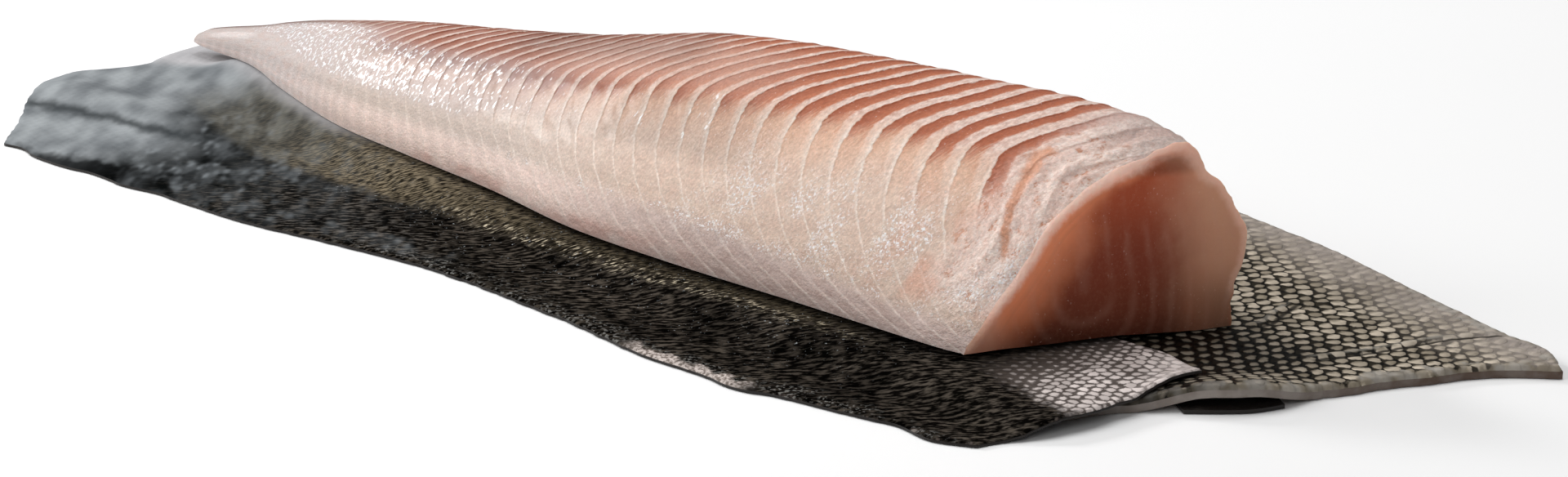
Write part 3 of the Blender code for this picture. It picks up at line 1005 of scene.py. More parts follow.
@dataclass(frozen=True)
class SkinStrip:
    """A strip of skin with scales, folds and a torn border."""

    name: str
    edges: tuple[Points, ...]
    thickness: float
    lay: Lay
    lattice: ScaleLattice
    spans: tuple[int, int]
    crowding: float
    scale_height: float
    wave_height: float
    torn: float                     # how far the border strays
    rounding: float                 # radius of the border's upper edge
    folds: tuple[tuple[Points, float, float], ...] = ()   # curve (y, x), width, height

    # the lifted head edge of the far strip, and the ramp of the near strip onto it
    lift: float = 4.2
    lift_centre: tuple[float, float] = (66.5, 30.0)
    lift_turn: float = math.radians(30)
    lift_width: float = 24.0
    lift_spread: tuple[float, float] = (4.0, 26.0)
    lift_clearance: float = 1.5
    lap: float = 3.7
    ramp: float = 17.0
    ramp_margin: float = 7.0
    tail_fold: float = 2.2
    fold_line: Points = ((-388, -30), (-285, -20))
    fold_width: float = 10.0
    lap_back: float = 42.0          # the near strip lies on the far one up to this y
    lap_head: float = 52.0          # and up to this x
    pressed: float = 0.6            # share of its relief that the far strip loses under a piece
    press_fade: tuple[float, float] = (1.0, 4.0)        # past the border of that piece
    under_loin: tuple[float, float] = (-14.0, -2.0)     # the near strip goes flat over this y
    under_head: tuple[float, float] = (-30.0, 0.0)      # behind a cut at this distance
    fold_fade: float = 6.0          # a fold fades over this length at its ends
    fray_reach: float = 3.0         # a torn border moves what lies about this near to it
    least_fray: float = 0.35        # and moves in by at least this share of `torn`

    def head_lift(self, x: np.ndarray, y: np.ndarray) -> np.ndarray:
        """Height of the far strip's curled head edge.

        Args:
            x: bench x.
            y: bench y.

        Returns:
            The height, 0 away from that edge.
        """
        off_x, off_y = x - self.lift_centre[0], y - self.lift_centre[1]
        along = off_x * math.sin(self.lift_turn) + off_y * math.cos(self.lift_turn)
        across = off_x * math.cos(self.lift_turn) - off_y * math.sin(self.lift_turn)
        side = 1 - ease(np.abs(along), *self.lift_spread)
        return self.lift * ease(across, -self.lift_width, 0) * side

    def underside(self, x: np.ndarray, y: np.ndarray) -> np.ndarray:
        """Height of the strip's underside.

        Args:
            x: bench x.
            y: bench y.

        Returns:
            The height over what the fillet lies on.
        """
        if self.lay is Lay.SURFACE:
            return self.head_lift(x, y)
        side = column(FAR_EDGE, 1, x) - self.ramp_margin
        end = FAR_TAIL[1][0] - self.ramp_margin
        onto = ease(y, side - self.ramp, side) * ease(x, end - self.ramp, end)
        (x0, y0), (x1, y1) = self.fold_line
        middle = y0 + (y1 - y0) * (x - x0) / (x1 - x0)
        width = self.fold_width
        ends = ease(x, x0 - width, x0 + width) * (1 - ease(x, x0 + 3 * width, x1))
        fold = self.tail_fold * np.exp(-((y - middle) / width) ** 2) * ends
        raised = self.lap + self.lift_clearance * self.head_lift(x, y)
        return onto * raised + fold * (1 - onto)

    def free(self, x: np.ndarray, y: np.ndarray) -> np.ndarray:
        """Share of the relief that a strip keeps: less where another piece lies on it.

        Args:
            x: bench x.
            y: bench y.

        Returns:
            The share, from 0 to 1.
        """
        if self.lay is Lay.FAR_STRIP:
            return np.clip(1 - ease(y, *self.under_loin) * ease(-x, *self.under_head), 0, 1)
        form = LoinForm()
        past_loin = np.maximum(y - column(form.sections, 2, -x), x - form.cut_slant * y)
        past_strip = np.maximum(y - self.lap_back, x - self.lap_head)
        return 1 - self.pressed * (1 - ease(np.minimum(past_loin, past_strip), *self.press_fade))

    def relief(self, x: np.ndarray, y: np.ndarray,
               free: np.ndarray) -> tuple[np.ndarray, np.ndarray]:
        """Relief of the strip's top.

        Args:
            x: bench x.
            y: bench y.
            free: 1 where nothing lies on the strip.

        Returns:
            Height, and how strongly a fold bends the skin, from -1 to 1.
        """
        radius = self.lattice.cells(x, y)[0]
        height = self.scale_height * (1 - ease(radius, .1, 1.2))
        height = height + self.wave_height * (grain(x / 19, y / 11, seed=21)
                                              + .5 * grain(x / 8, y / 6, seed=22))
        bend = np.zeros_like(x)
        for curve, width, rise in self.folds:
            off = near_curve(x, y, curve) / width
            wave = np.exp(-off ** 2) - .8 * np.exp(-(off - 1.7) ** 2)
            wave = wave * within(y, curve, self.fold_fade)
            bend = bend + wave
            height = height + rise * wave
        return height * free, bend

    def build(self) -> bpy.types.Object:
        """Models the strip.

        Returns:
            The strip, with one empty material slot for its top and one for its raw side.
        """
        plan = patch(self.edges, self.spans, self.crowding)
        border = edge_distance(plan)
        x, y = plan[..., 0], plan[..., 1]
        stray = self.torn * (grain(x / 5, y / 5, seed=31) + .6 * grain(x / 1.8, y / 1.8, 32))
        middle = plan.mean(axis=(0, 1))
        inward = middle - plan
        inward /= np.linalg.norm(inward, axis=-1, keepdims=True)
        stray = np.maximum(stray + self.torn, self.least_fray * self.torn)
        plan = plan + inward * (stray * np.exp(-border / self.fray_reach))[..., None]
        plan = np.clip(plan, *PLAN_LIMITS)
        x, y = plan[..., 0], plan[..., 1]
        points = np.dstack([plan, self.underside(x, y)])
        thing = add_grid(self.name, points)
        relief, bend = self.relief(x, y, self.free(x, y))
        carry(thing, "border", border)
        carry(thing, "bend", bend)
        carry(thing, "relief", relief)
        carry(thing, "from_loin", column(LoinForm().sections, 1, -x) - y)
        add_slots(thing, 2)
        thicken(thing, self.thickness, raw_slot=1)
        self._finish_top(thing, len(x.ravel()))
        return thing

    def _finish_top(self, thing: bpy.types.Object, count: int) -> None:
        """Adds the relief to the top and rounds its border.

        Args:
            thing: the strip.
            count: how many vertices its top has.
        """
        points = bench_points(thing)
        top = self.top_of(thing, points, count)
        border = carried(thing, "border")
        inside = np.clip(self.rounding - border, 0, self.rounding)
        drop = self.rounding - np.sqrt(np.maximum(self.rounding ** 2 - inside ** 2, 0))
        relief = carried(thing, "relief") * ease(border, 0, 2)
        points[top, 2] += (relief - drop)[top]
        set_bench_points(thing, points)

    @staticmethod
    def top_of(thing: bpy.types.Object, points: np.ndarray, count: int) -> np.ndarray:
        """Numbers of the vertices that make the top of a strip."""
        first, second = np.arange(count), np.arange(count, 2 * count)
        return second if points[second, 2].mean() > points[first, 2].mean() else first


NEAR_EDGE = (
    (-344, -74.7), (-336, -73), (-326, -74.8), (-310, -73.5), (-300, -71.2), (-283, -71),
    (-270, -68), (-258, -67.5), (-229, -64.8), (-198, -58), (-168, -52.4), (-147, -50.6),
    (-126, -50.5), (-97, -51), (-67, -53.3), (-43, -51.8), (-30, -52), (-19, -47.8),
    (5.5, -42.5), (17.4, -39.7), (30, -40.4), (41.5, -35),
)
NEAR_BACK = ((-391, 50), (-365, 46), (-340, 43), (-270, 42), (-190, 41), (-100, 40), (-20, 39),
             (14, 40), (25, 40.8), (33, 41.4), (41, 39.6), (50, 37.3))
NEAR_TAIL = ((-344, -74.7), (-349, -70), (-359, -60), (-377, -46), (-389, -34), (-395, -25.6),
             (-398, -15), (-395, -6.8), (-392, 1), (-391, 9.4), (-394.5, 18), (-397, 27),
             (-398, 38), (-391, 50))
NEAR_HEAD = ((41.5, -35), (42.8, -28), (45.6, -22), (48.5, -14), (50.2, -4), (50.5, 8),
             (50.7, 19.5), (51, 28.5), (50, 37.3))
FAR_EDGE = ((-346, 34), (-330, 25), (-280, 10), (-200, 0), (-100, -6), (0, -7), (42, -5))
FAR_BACK = ((-349, 75), (-335, 92), (-318, 109), (-299, 116), (-278, 132), (-255, 141),
            (-228, 151), (-200, 155), (-171, 162), (-140, 161), (-110, 163), (-80, 156),
            (-56, 154), (-35, 149), (-10, 145), (8, 141.6), (27, 136.3), (46, 131),
            (64, 126.5), (81, 122), (95.6, 120.2), (106.2, 112))
FAR_TAIL = ((-346, 34), (-354, 54), (-349, 75))
FAR_HEAD = ((42, -5), (45, 3), (48.3, 10.2), (56, 19.8), (65, 28.3), (69.7, 34.5), (72.4, 42),
            (73.5, 51), (77.2, 61), (81, 72.4), (86, 82.6), (90.3, 93.7), (96.5, 102.5),
            (106.2, 112))

NEAR_STRIP = SkinStrip(
    name="near_skin", edges=(NEAR_EDGE, NEAR_BACK, NEAR_TAIL, NEAR_HEAD), thickness=1.2,
    lay=Lay.FAR_STRIP,
    lattice=ScaleLattice(length=2.8, width=3.5, turn=math.radians(-38), sway=.26),
    spans=(370, 104), crowding=0.10, scale_height=.08, wave_height=.12, torn=.5, rounding=.5)
FAR_STRIP = SkinStrip(
    name="far_skin", edges=(FAR_EDGE, FAR_BACK, FAR_TAIL, FAR_HEAD), thickness=3.4,
    lay=Lay.SURFACE,
    lattice=ScaleLattice(length=3.85, width=4.55, turn=math.radians(-8)),
    spans=(330, 116), crowding=0.22, scale_height=.20, wave_height=.12, torn=.4, rounding=1.4,
    folds=((((64, 56), (74, 60), (84, 64), (95, 67), (106, 70.5), (123, 80)), 1.3, .45),
           (((73, 28), (80, 31), (88, 28), (102, 24)), 1.5, .4)))


# ------------------------------------------------------------------ finishes
class Flesh(Finish):
    """The wet flesh of the loin: white septa bands over red and cream muscle."""

    def __init__(self) -> None:
        """Sets what is the same all over the flesh."""
        super().__init__("wet_flesh", Subsurface_Weight=.2, Subsurface_Scale=.0022,
                         Subsurface_Radius=(1.0, .5, .35), IOR=1.38, Specular_IOR_Level=.3,
                         Coat_Roughness=.13, Coat_IOR=1.33)

    def make(self) -> bpy.types.Material:
        """Builds the material.

        Returns:
            The material.
        """
        flake, girth = self.attribute("flake"), self.attribute("girth")
        behind, groove = self.attribute("behind"), self.attribute("groove")
        around = girth * LOIN_GIRTH
        spot = self.vector(behind, around)
        cloud = self.noise(spot, 17, detail=2)
        blotch = self.noise(self.vector(behind + 90, around), 5, detail=3, roughness=.6)
        rough = self.noise(spot, 1.7, detail=3, roughness=.65)
        crumb = self.noise(self.vector(behind, around + 50), 3.2, detail=4, roughness=.7)
        feather = self.noise(self.vector((behind + around * .55) / .8,
                                         (around - behind * .55) / 4), 1, detail=2)
        streak = self.noise(self.vector(behind / 6, around), .9, detail=2)

        # where on its flake a point lies, and which stretch of the loin it is on
        phase = flake + (blotch - .5) * .20 + (rough - .5) * .14
        share = phase - floor(phase)
        number = floor(phase)
        chance = self.node("ShaderNodeTexWhiteNoise", {"noise_dimensions": "1D"}, {1: number})
        near_head = behind.fall(30, 90)
        far_back = behind.ease(130, 230)
        tail = behind.ease(255, 335)
        head = 1 - (behind + (cloud - .5) * 14 + (crumb - .5) * 12).ease(12, 26)

        # shares of the red back, the white bands, the belly and the thin lines of septa
        red_from = .335 + (chance - .5) * .02 + (cloud - .5) * .03 + tail * .12
        red_from = red_from - behind.ease(120, 190) * .025
        red_from = red_from - behind.fall(14, 34) * .09 + (1 - share) * .03
        red_zone = (girth + (feather - .5) * .05).ease(red_from - .030, red_from + .022)
        orange = girth.ease(red_from - .12, red_from) * (1 - tail)
        width = .30 + near_head * .20 + (cloud - .5) * .14
        upper = girth.ease(.19, .36)
        width = width * (.18 + .82 * upper)
        crisp = share.ease(0, .035)
        band = crisp * (1 - (share + (feather - .5) * .16 * upper).ease(width - .06, width + .11))
        belly_from = behind.ease(20, 120) * .05 + .085
        belly = 1 - (girth + (blotch - .5) * .02).ease(belly_from - .02, belly_from + .03)
        line = 1 - (share + (feather - .5) * .08).ease(.04, .14 + belly * .12 + upper * .08)
        line = crisp * line * (.45 + blotch.ease(.42, .58) * .55)

        # ground colours, and the bands and lines on them
        cream = self.mix(blotch.ease(.3, .7), (.73, .56, .455), (.67, .485, .39))
        cream = self.mix(behind.ease(110, 200) * .8, cream, (.60, .50, .44))
        cream = self.mix(orange * .7, cream, (.70, .39, .25))
        low = self.mix(blotch.ease(.3, .7), (.56, .43, .385), (.50, .365, .32))
        low = self.mix(behind.ease(80, 200), low, (.88, .69, .61))
        red = self.mix(streak * .5 + share.ease(.3, .95) * .6, (.56, .20, .103), (.35, .092, .043))
        red = self.mix(rough.ease(.6, .75) * .35, red, (.62, .32, .22))
        red = self.mix(far_back * .65, red, (.27, .105, .070))
        white = self.mix(rough.ease(.3, .7), (.84, .66, .58), (.60, .39, .32))
        white = self.mix(far_back * .5, white, (.50, .33, .27))
        colour = self.mix(belly, cream, low)
        colour = self.mix(band * upper * (1 - red_zone) * .45 * (1 - far_back), colour,
                          (.80, .66, .57))
        lines = line * (.8 - far_back * .4) * (1 - red_zone)
        colour = self.mix(lines, colour, self.mix(belly, (.88, .76, .67), (.74, .62, .55)))
        stripes = self.mix(band, red, white)
        stripes = self.mix(line * .45, stripes, (.86, .72, .64))
        colour = self.mix(red_zone, colour, stripes)

        # patches of the flank, the tail end and the torn head end, then painted light and shade
        blush = behind.fall(22, 50) * girth.ease(.09, .14) * girth.fall(.26, .34)
        blush = blush * self.noise(spot, 11, detail=2).ease(.42, .58)
        colour = self.mix(blush * .6, colour, (.68, .34, .23))
        flushed = behind.within(115, 225, 25) * girth.fall(.03, .09)
        flushed = flushed * cloud.ease(.38, .60) * (.45 + streak * .55)
        colour = self.mix(flushed * .6, colour, (.56, .27, .215))
        smear = behind.ease(90, 125) * behind.fall(170, 230)
        smear = smear * girth.ease(.32, .40) * girth.fall(.45, .53)
        colour = self.mix(smear * (.3 + blotch * .6), colour, (.60, .37, .29))
        end = self.mix(girth.ease(.40, .49), (.56, .49, .47), (.21, .11, .08))
        end = self.mix(blotch.ease(.45, .65) * .3, end, (.55, .33, .26))
        colour = self.mix(tail * .9, colour, end)
        torn = self.mix(rough.ease(.3, .7), (.90, .76, .69), (.78, .58, .50))
        torn = self.mix(crumb.fall(.34, .46) * (1 - girth.ease(.40, .55) * .6), torn,
                        (.62, .30, .19))
        torn = self.mix(girth.ease(.40, .52) * .72, torn, (.52, .42, .39))
        colour = self.mix(head * girth.ease(.10, .16) * (.88 - red_zone * .08), colour, torn)
        groove = (groove + (crumb - .5) * 1.2).ease(.3, .9)
        colour = self.mix(groove * .75, colour, (.64, .27, .14))
        grainy = self.noise(spot, .8, detail=3, roughness=.7).ease(.3, .7)
        thread = 1 - (self.noise(spot, 2.4, detail=3, roughness=.6) - .5).math("ABSOLUTE") * 22
        # painted highlight along the thin lines of the wet crinkles, up to a tenth brighter
        wrinkle_highlight = thread.ease(0, 1) * girth.fall(.30, .40) * .10
        colour = self.scaled(colour, .78 + grainy * .22 + (crumb - .5) * .22 + wrinkle_highlight)
        # painted shade on the ribs and the belly edge, painted light on the tail's lower flank;
        # crest, tail top and the band under the glints are made darker
        rib_shade = share.within(.4, .6, .4) * behind.ease(160, 220) * girth.fall(.12, .22)
        crest = behind.within(150, 215, 20) * girth.ease(.36, .46)
        tip_top = behind.ease(310, 345) * girth.ease(.40, .50)
        sunk = behind.within(110, 270, 30) * girth.within(.26, .33, .04)
        tail_low_light = behind.ease(285, 320) * girth.fall(.08, .13)
        tone = 1.05 - rib_shade * .12 - crest * .33 - tip_top * .44 - sunk * .24 + tail_low_light * .22
        colour = self.scaled(colour, tone)
        shade = girth.fall(0, .05) * (1 - behind.ease(150, 300) * .7)
        colour = self.scaled(colour, 1 - shade * .3)

        # painted highlights: the bright patch towards the tail and the glints of the wet membrane,
        # both in the colour
        low_edge = .185 + .16 * behind.ease(300, 365) + .05 * behind.fall(190, 225)
        high_edge = .37 + .10 * behind.ease(270, 310)
        highlight_patch = girth.ease(low_edge - .01, low_edge + .04)
        highlight_patch = highlight_patch * girth.fall(high_edge - .03, high_edge + .04)
        highlight_patch = highlight_patch * behind.ease(160, 225) * behind.fall(345, 375)
        crinkle = behind.fall(90, 130) * girth.ease(.09, .14) * girth.fall(.20, .34)
        crinkle = crinkle * (.25 + .75 * cloud.ease(.42, .58))
        seam = 1 - (girth - belly_from - .01).math("ABSOLUTE").ease(.004, .02)
        seam = seam * blotch.ease(.44, .58) * behind.fall(190, 240)
        streak_glint_noise = self.noise(self.vector(behind, around * .42), 1.1, detail=2, roughness=.6)
        speck_glint_noise = self.noise(spot, .75, detail=2, roughness=.6)
        gleam = behind.ease(90, 130) * behind.fall(205, 240)
        gleam = gleam * girth.ease(.23, .28) * girth.fall(.35, .39) * cloud.ease(.45, .6)
        gleam = gleam * (.4 + band * .6)
        dense = highlight_patch * (.07 + band * .04 + behind.ease(220, 260) * .04) + gleam * .10
        glint = streak_glint_noise.ease(.66 - dense, .72 - dense) * (highlight_patch + gleam).math("MINIMUM", 1)
        wet = (crinkle + seam * .9).math("MINIMUM", 1)
        glint = glint + speck_glint_noise.ease(.64 - wet * .10, .74 - wet * .10) * (.3 + wet * .5)
        glint = glint + thread.ease(.2, 1) * wet * cloud.ease(.40, .60) * .45
        glint = glint.math("MINIMUM", 1)
        # the base under the painted highlight patch is dulled, then the painted glints go on top
        colour = self.mix(highlight_patch * .5, colour, (.43, .345, .325))
        colour = self.mix(glint * .9, colour, (.90, .91, .94))

        # relief
        normal = self.bump(band * girth.ease(.25, .34), .10, .8)
        normal = self.bump(rough * (1 - highlight_patch * .5), .30, .9, under=normal)
        normal = self.bump(crumb * (.2 - highlight_patch * .12 + head * .8), .9, .9, under=normal)
        normal = self.bump(thread.ease(0, 1) * wet, .12, .8, under=normal)
        normal = self.bump(feather, .10, .6, under=normal)
        return self.dress(Base_Color=colour, Roughness=.52 - glint * .25,
                          Coat_Weight=.10 + glint * .5, Normal=normal)


class CutFace(Finish):
    """The knife cut: translucent red muscle with pale rings of septa; its rim and its band by the
    flank glow faintly by emission, which is painted light.
    """

    def __init__(self) -> None:
        """Sets what is the same all over the cut."""
        super().__init__("cut_flesh", Subsurface_Weight=.25, Subsurface_Scale=.004,
                         Subsurface_Radius=(1.0, .35, .2), IOR=1.38, Coat_Roughness=.2,
                         Specular_IOR_Level=.12, Emission_Strength=1.0)

    def make(self) -> bpy.types.Material:
        """Builds the material.

        Returns:
            The material.
        """
        x, y, z = self.place()
        spot = self.vector(x, y, z)
        inset = self.attribute("inset")
        cloud = self.noise(spot, 9, detail=3)
        fine = self.noise(spot, 1.1, detail=3, roughness=.6)
        crumb = self.noise(spot, 3.2, detail=4, roughness=.7)
        leaned = y + (z - 14) * .17 * y.ease(25, 45)
        low = (20 - z).math("MAXIMUM", 0) * .75
        radius = (leaned - 31.5).math("ABSOLUTE").math("POWER", 2) + low * low
        radius = radius.math("SQRT") + (cloud - .5) * 3
        phase = (radius.math("MAXIMUM", 0) ** 1.25) / 13.5
        ring = phase - floor(phase + .5)
        septum = 1 - ring.math("ABSOLUTE").ease(.0, .30)
        septum = septum * z.fall(30, 50) * self.noise(spot, 14).ease(.3, .6)
        # deep red muscle, darker towards the bottom by painted shade
        dark = self.mix(z.ease(4, 30), (.21, .056, .030), (.27, .056, .028))
        dark = self.mix(z.ease(25, 48), dark, (.47, .095, .040))
        right = (y + (z - 20) * .1 + (cloud - .5) * 8).ease(48, 69)
        # orange band along the flank side: partly the colour of the thin flesh, partly painted
        # light passing through it
        left = (1 - (inset + (cloud - .5) * 5).ease(1.5, 18 - z.ease(28, 46) * 12)) * (1 - right)
        colour = self.mix(left, dark, (.92, .34, .175))
        stripe = self.noise(self.vector(inset / 1.6, z / 30), 1, detail=1)
        colour = self.mix(stripe.ease(.4, .7) * left * .3, colour, (.50, .20, .11))
        # pale right lobe, darker towards the bottom by painted shade
        colour = self.mix(right * .9, colour, self.mix(z.ease(8, 24), (.42, .21, .13),
                                                       (.74, .385, .245)))
        corner = 1 - (y + z * .5 + (cloud - .5) * 6).ease(4, 21)
        colour = self.mix(corner * .95, colour, (.94, .70, .54))
        shadow = y.within(46, 57, 7) * z.within(49, 51, 2.5)
        colour = self.scaled(colour, 1 - shadow * .35)
        # pale rim of flesh along the cut's edge, with a painted highlight where the rounded edge
        # catches the light
        rim = 1 - (inset + (crumb - .5) * 2.5).ease(.8, 3.2 + z.ease(40, 52) * 2.2)
        rim = rim * z.ease(8, 18) * (1 - right * .6)
        colour = self.mix(rim * .9, colour, (.90, .70, .62))
        colour = self.mix(septum * .15, colour, (.66, .34, .25))
        # painted shade, darkening towards the foot of the cut
        colour = self.scaled(colour, .45 + .55 * (z + y * .1).ease(4, 17))
        colour = self.mix(fine.ease(.45, .75) * .10, colour, (.6, .3, .2))
        sparkle = self.noise(spot, .8, detail=1).ease(.68, .76) * cloud.ease(.45, .6)
        normal = self.bump(fine, .12, .8)
        normal = self.bump(crumb * rim, .8, .8, under=normal)
        # painted light: small glints in the colour, and a faint glow of the rim and the band by
        # the flank by emission
        return self.dress(Base_Color=self.mix(sparkle * .35, colour, (.8, .5, .4)),
                          Roughness=.42 + cloud * .1,
                          Emission_Color=self.mix(rim * .9, self.scaled((.06, .008, .001), left),
                                                  (.16, .075, .045)),
                          Coat_Weight=.03 + sparkle * .3, Normal=normal)


class SkinBack(Finish):
    """The pale raw side and cut edge of the skin."""

    def __init__(self, name: str, light: Colour, dark: Colour) -> None:
        """Takes the two colours between which the raw side varies."""
        super().__init__(name, Coat_Roughness=.25, Specular_IOR_Level=.2)
        self.light, self.dark = light, dark

    def make(self) -> bpy.types.Material:
        """Builds the material.

        Returns:
            The material.
        """
        x, y, z = self.place()
        spot = self.vector(x, y, z)
        cloud = self.noise(spot, 6, detail=3)
        colour = self.mix(cloud.ease(.35, .65) * .4 + x.ease(66, 86) * .6, self.light, self.dark)
        normal = self.bump(self.noise(spot, 1.2, detail=3), .15, .7)
        return self.dress(Base_Color=colour, Roughness=.5 - cloud * .1,
                          Coat_Weight=cloud * .3, Normal=normal)


class GreySkin(Finish):
    """The far strip: grey-beige scales with dark outlines."""

    def __init__(self, lattice: ScaleLattice) -> None:
        """Takes the strip's scales."""
        super().__init__("grey_scaled_skin", IOR=1.4, Coat_Roughness=.22, Specular_IOR_Level=.1)
        self.lattice = lattice

    def make(self) -> bpy.types.Material:
        """Builds the material.

        Returns:
            The material.
        """
        x, y, z = self.place()
        spot = self.vector(x, y, z)
        border, bend = self.attribute("border"), self.attribute("bend")
        cloud = self.noise(spot, 22, detail=3)
        fine = self.noise(spot, 1.1, detail=3, roughness=.6)
        worn = self.noise(spot, 6, detail=2)
        drift = self.noise(self.vector(y, x), 5, detail=2)
        radius, edge, line, number = self.lattice.cells(x + (worn - .5) * 3.2,
                                                        y + (drift - .5) * 3.2)
        chance = self.chance(line, number)
        fade = (y + x * .25 + (cloud - .5) * 20).ease(112, 152)
        # painted shade beside the loin's head end: there the strip is darkened and its scales
        # drawn smaller
        shade_by_loin = (1 - (x + (cloud - .5) * 16).ease(48, 78)) * y.fall(60, 95)
        reach = 1.0 + (chance - .5) * .26 + (worn - .5) * .4 + fade * .12 - shade_by_loin * .25
        crown = 1 - (radius + (fine - .5) * .6).ease(reach - .24, reach + .10)
        crown = crown * (edge + (fine - .5) * .2).ease(.04, .20)
        pale = self.mix(chance, (.29, .244, .180), (.66, .570, .455))
        pale = self.scaled(pale, 1 + shade_by_loin * .5)
        # darker roots and gaps of the scales: dark pigment, deepened by painted shade under each
        # free edge
        pale = self.mix(edge.ease(.5, 1.05) * .65, pale, (.10, .085, .056))
        ground = self.mix(edge.ease(.35, .9), (.003, .0023, .0015), (.024, .019, .012))
        colour = self.mix(crown.math("MAXIMUM", fade * .8), ground, pale)
        grey = self.mix(cloud, (.30, .255, .233), (.43, .380, .352))
        thread = self.noise(self.vector((x + y * .35) * 1.4, (y - x * .35) / 7), 1, detail=2)
        grey = self.mix(thread.ease(.5, .7) * .35, grey, (.17, .15, .125))
        colour = self.mix(fade * .88, colour, grey)
        # folds: painted highlight on their crests, painted shade in their creases
        colour = self.mix(bend.ease(.35, .95) * .5 * worn.ease(.35, .6), colour, (.42, .39, .34))
        colour = self.mix((bend * -1.0).ease(.25, .7) * .9, colour, (.010, .008, .006))
        rim = 1 - (border + (fine - .5) * 4 + (worn - .5) * 20).ease(2, 4)
        bare = self.mix(worn.ease(.4, .6), (.38, .35, .31), (.23, .195, .145))
        colour = self.mix(rim * x.ease(30, 45) * .85, colour, bare)
        # the painted shade beside the loin
        colour = self.scaled(colour, 1 - shade_by_loin * .78)
        dome = radius.fall(.1, 1.15) * edge.ease(.02, .2)
        normal = self.bump(dome, .55, .9)
        normal = self.bump(fine, .10, .7, under=normal)
        return self.dress(Base_Color=colour, Roughness=.45 + chance * .12,
                          Coat_Weight=crown * cloud * .25, Normal=normal)


class DarkSkin(Finish):
    """The near strip: black wet skin, olive by the loin, blue-grey at its tail end."""

    def __init__(self, lattice: ScaleLattice) -> None:
        """Takes the strip's scales."""
        super().__init__("dark_wet_skin", Coat_Roughness=.12, Coat_IOR=1.33,
                         Specular_IOR_Level=0.0)
        self.lattice = lattice

    def make(self) -> bpy.types.Material:
        """Builds the material.

        Returns:
            The material.
        """
        x, y, z = self.place()
        spot = self.vector(x, y, z)
        border, off = self.attribute("border"), self.attribute("from_loin")
        cloud = self.noise(spot, 26, detail=4)
        drawn_out = self.vector(x * .71 + y * .70, (y * .71 - x * .70) * .42)
        haze = self.noise(drawn_out, 7, detail=2, roughness=.6)
        soft = self.noise(drawn_out, 9, detail=1)
        patchy = self.noise(spot, 5, detail=4, roughness=.65)
        radius, edge, line, number = self.lattice.cells(x + (patchy - .5) * 2.6,
                                                        y + (haze - .5) * 3)
        chance = self.chance(line, number)
        swell = self.vector((x * .67 + y * .74) / 3.8, (y * .67 - x * .74) / 1.25)
        ripple = self.noise(swell, 1, detail=2.5, roughness=.6)
        fine = self.noise(spot, 1.1, detail=3, roughness=.6)
        wander = (cloud - .5) * 26
        leftward = 1 - (x + wander).ease(-300, -190)

        # black ripples, painted reflections on their crests and a painted sheen; the olive band by
        # the loin
        sheen = .6 + cloud.ease(.4, .6) * .8
        colour = self.scaled(self.mix(ripple.ease(.44, .66), (.002, .0017, .0014),
                                      (.060, .050, .040)), sheen)
        # blurred towards the tail, blue-grey there: partly the skin's colour, partly painted sheen
        colour = self.mix(leftward * .9, colour, self.mix(soft.ease(.35, .65), (.005, .006, .006),
                                                          (.034, .037, .039)))
        hatch = self.noise(self.vector((x - y * .5) / .8, (y + x * .5) / 3), 1, detail=2)
        olive = self.mix(hatch.ease(.40, .64), (.018, .0145, .010), (.235, .190, .127))
        olive = self.scaled(olive, 1 - x.ease(-250, -110) * .7)
        olive = self.mix(x.fall(-300, -230) * .85, olive,
                         self.mix(haze.ease(.3, .7), (.045, .046, .043), (.13, .127, .110)))
        reach = 10 + 20 * x.fall(-300, -120) + wander * .15
        olive_zone = (1 - (off - reach).ease(-5, 3)) * x.fall(-60, -20)
        colour = self.mix(olive_zone, colour, olive)
        # golden dashes along the olive band's outer border: painted glints
        glint_dash = hatch.ease(.55, .64) * (1 - (off - reach + 1).math("ABSOLUTE").ease(1, 4))
        glint_dash = glint_dash * x.within(-170, -60, 50) * patchy.ease(.4, .6)
        colour = self.mix(glint_dash * .9, colour, (.66, .57, .42))

        # painted glints: pale flecks at the near border, highlights of soft drops, and fine sparks
        fleck_glint = self.noise(spot, 1.3, detail=2).ease(.52, .62)
        near_rim = 1 - (border + wander * .25).ease(3, 11)
        near_rim = near_rim * y.fall(-40, -34) * patchy.ease(.38, .6) * x.ease(-215, -165)
        colour = self.mix(fleck_glint * near_rim * .7, colour, (.24, .235, .22))
        drop = self.node("ShaderNodeTexVoronoi", {"feature": "SMOOTH_F1"},
                         {"Vector": drawn_out, "Scale": 1 / 3.3, "Smoothness": .7})
        row = (1 - (border - 9).math("ABSOLUTE").ease(3, 8)) * x.within(-285, -175, 20)
        where = (haze.ease(.36, .60) * leftward).math("MAXIMUM", row * soft.ease(.35, .55) * .5)
        drop_highlight = haze.ease(.42, .66) * .22 + drop.fall(.0, .62) * .65
        drop_highlight = drop_highlight * where * (1 - olive_zone * .6)
        colour = self.mix(drop_highlight, colour, (.24, .26, .275))
        spark = self.noise(spot, .9, detail=2).ease(.66, .74) * haze.ease(.42, .58)
        spark = spark * x.ease(-300, -220) * x.fall(-40, 10) * off.fall(22, 40)
        colour = self.mix(spark * .8, colour, (.34, .36, .37))

        # blue-grey tail end, partly painted sheen, with its dark border, its pale side and its
        # crease
        tail_zone = 1 - (x + y.ease(-45, -5) * 36 + wander * .5).ease(-325, -285)
        grey = self.mix(soft.ease(.2, .8), (.135, .147, .157), (.35, .372, .385))
        grey = self.mix(patchy.ease(.4, .7) * .12, grey, (.34, .36, .37))
        colour = self.mix(tail_zone, colour, grey)
        near_dark = 1 - (border - (x + 335) * .35 + (haze - .5) * 20).ease(-5, 7)
        near_dark = near_dark * y.fall(-52, -44) * x.fall(-300, -260)
        colour = self.scaled(colour, 1 - near_dark * .88)
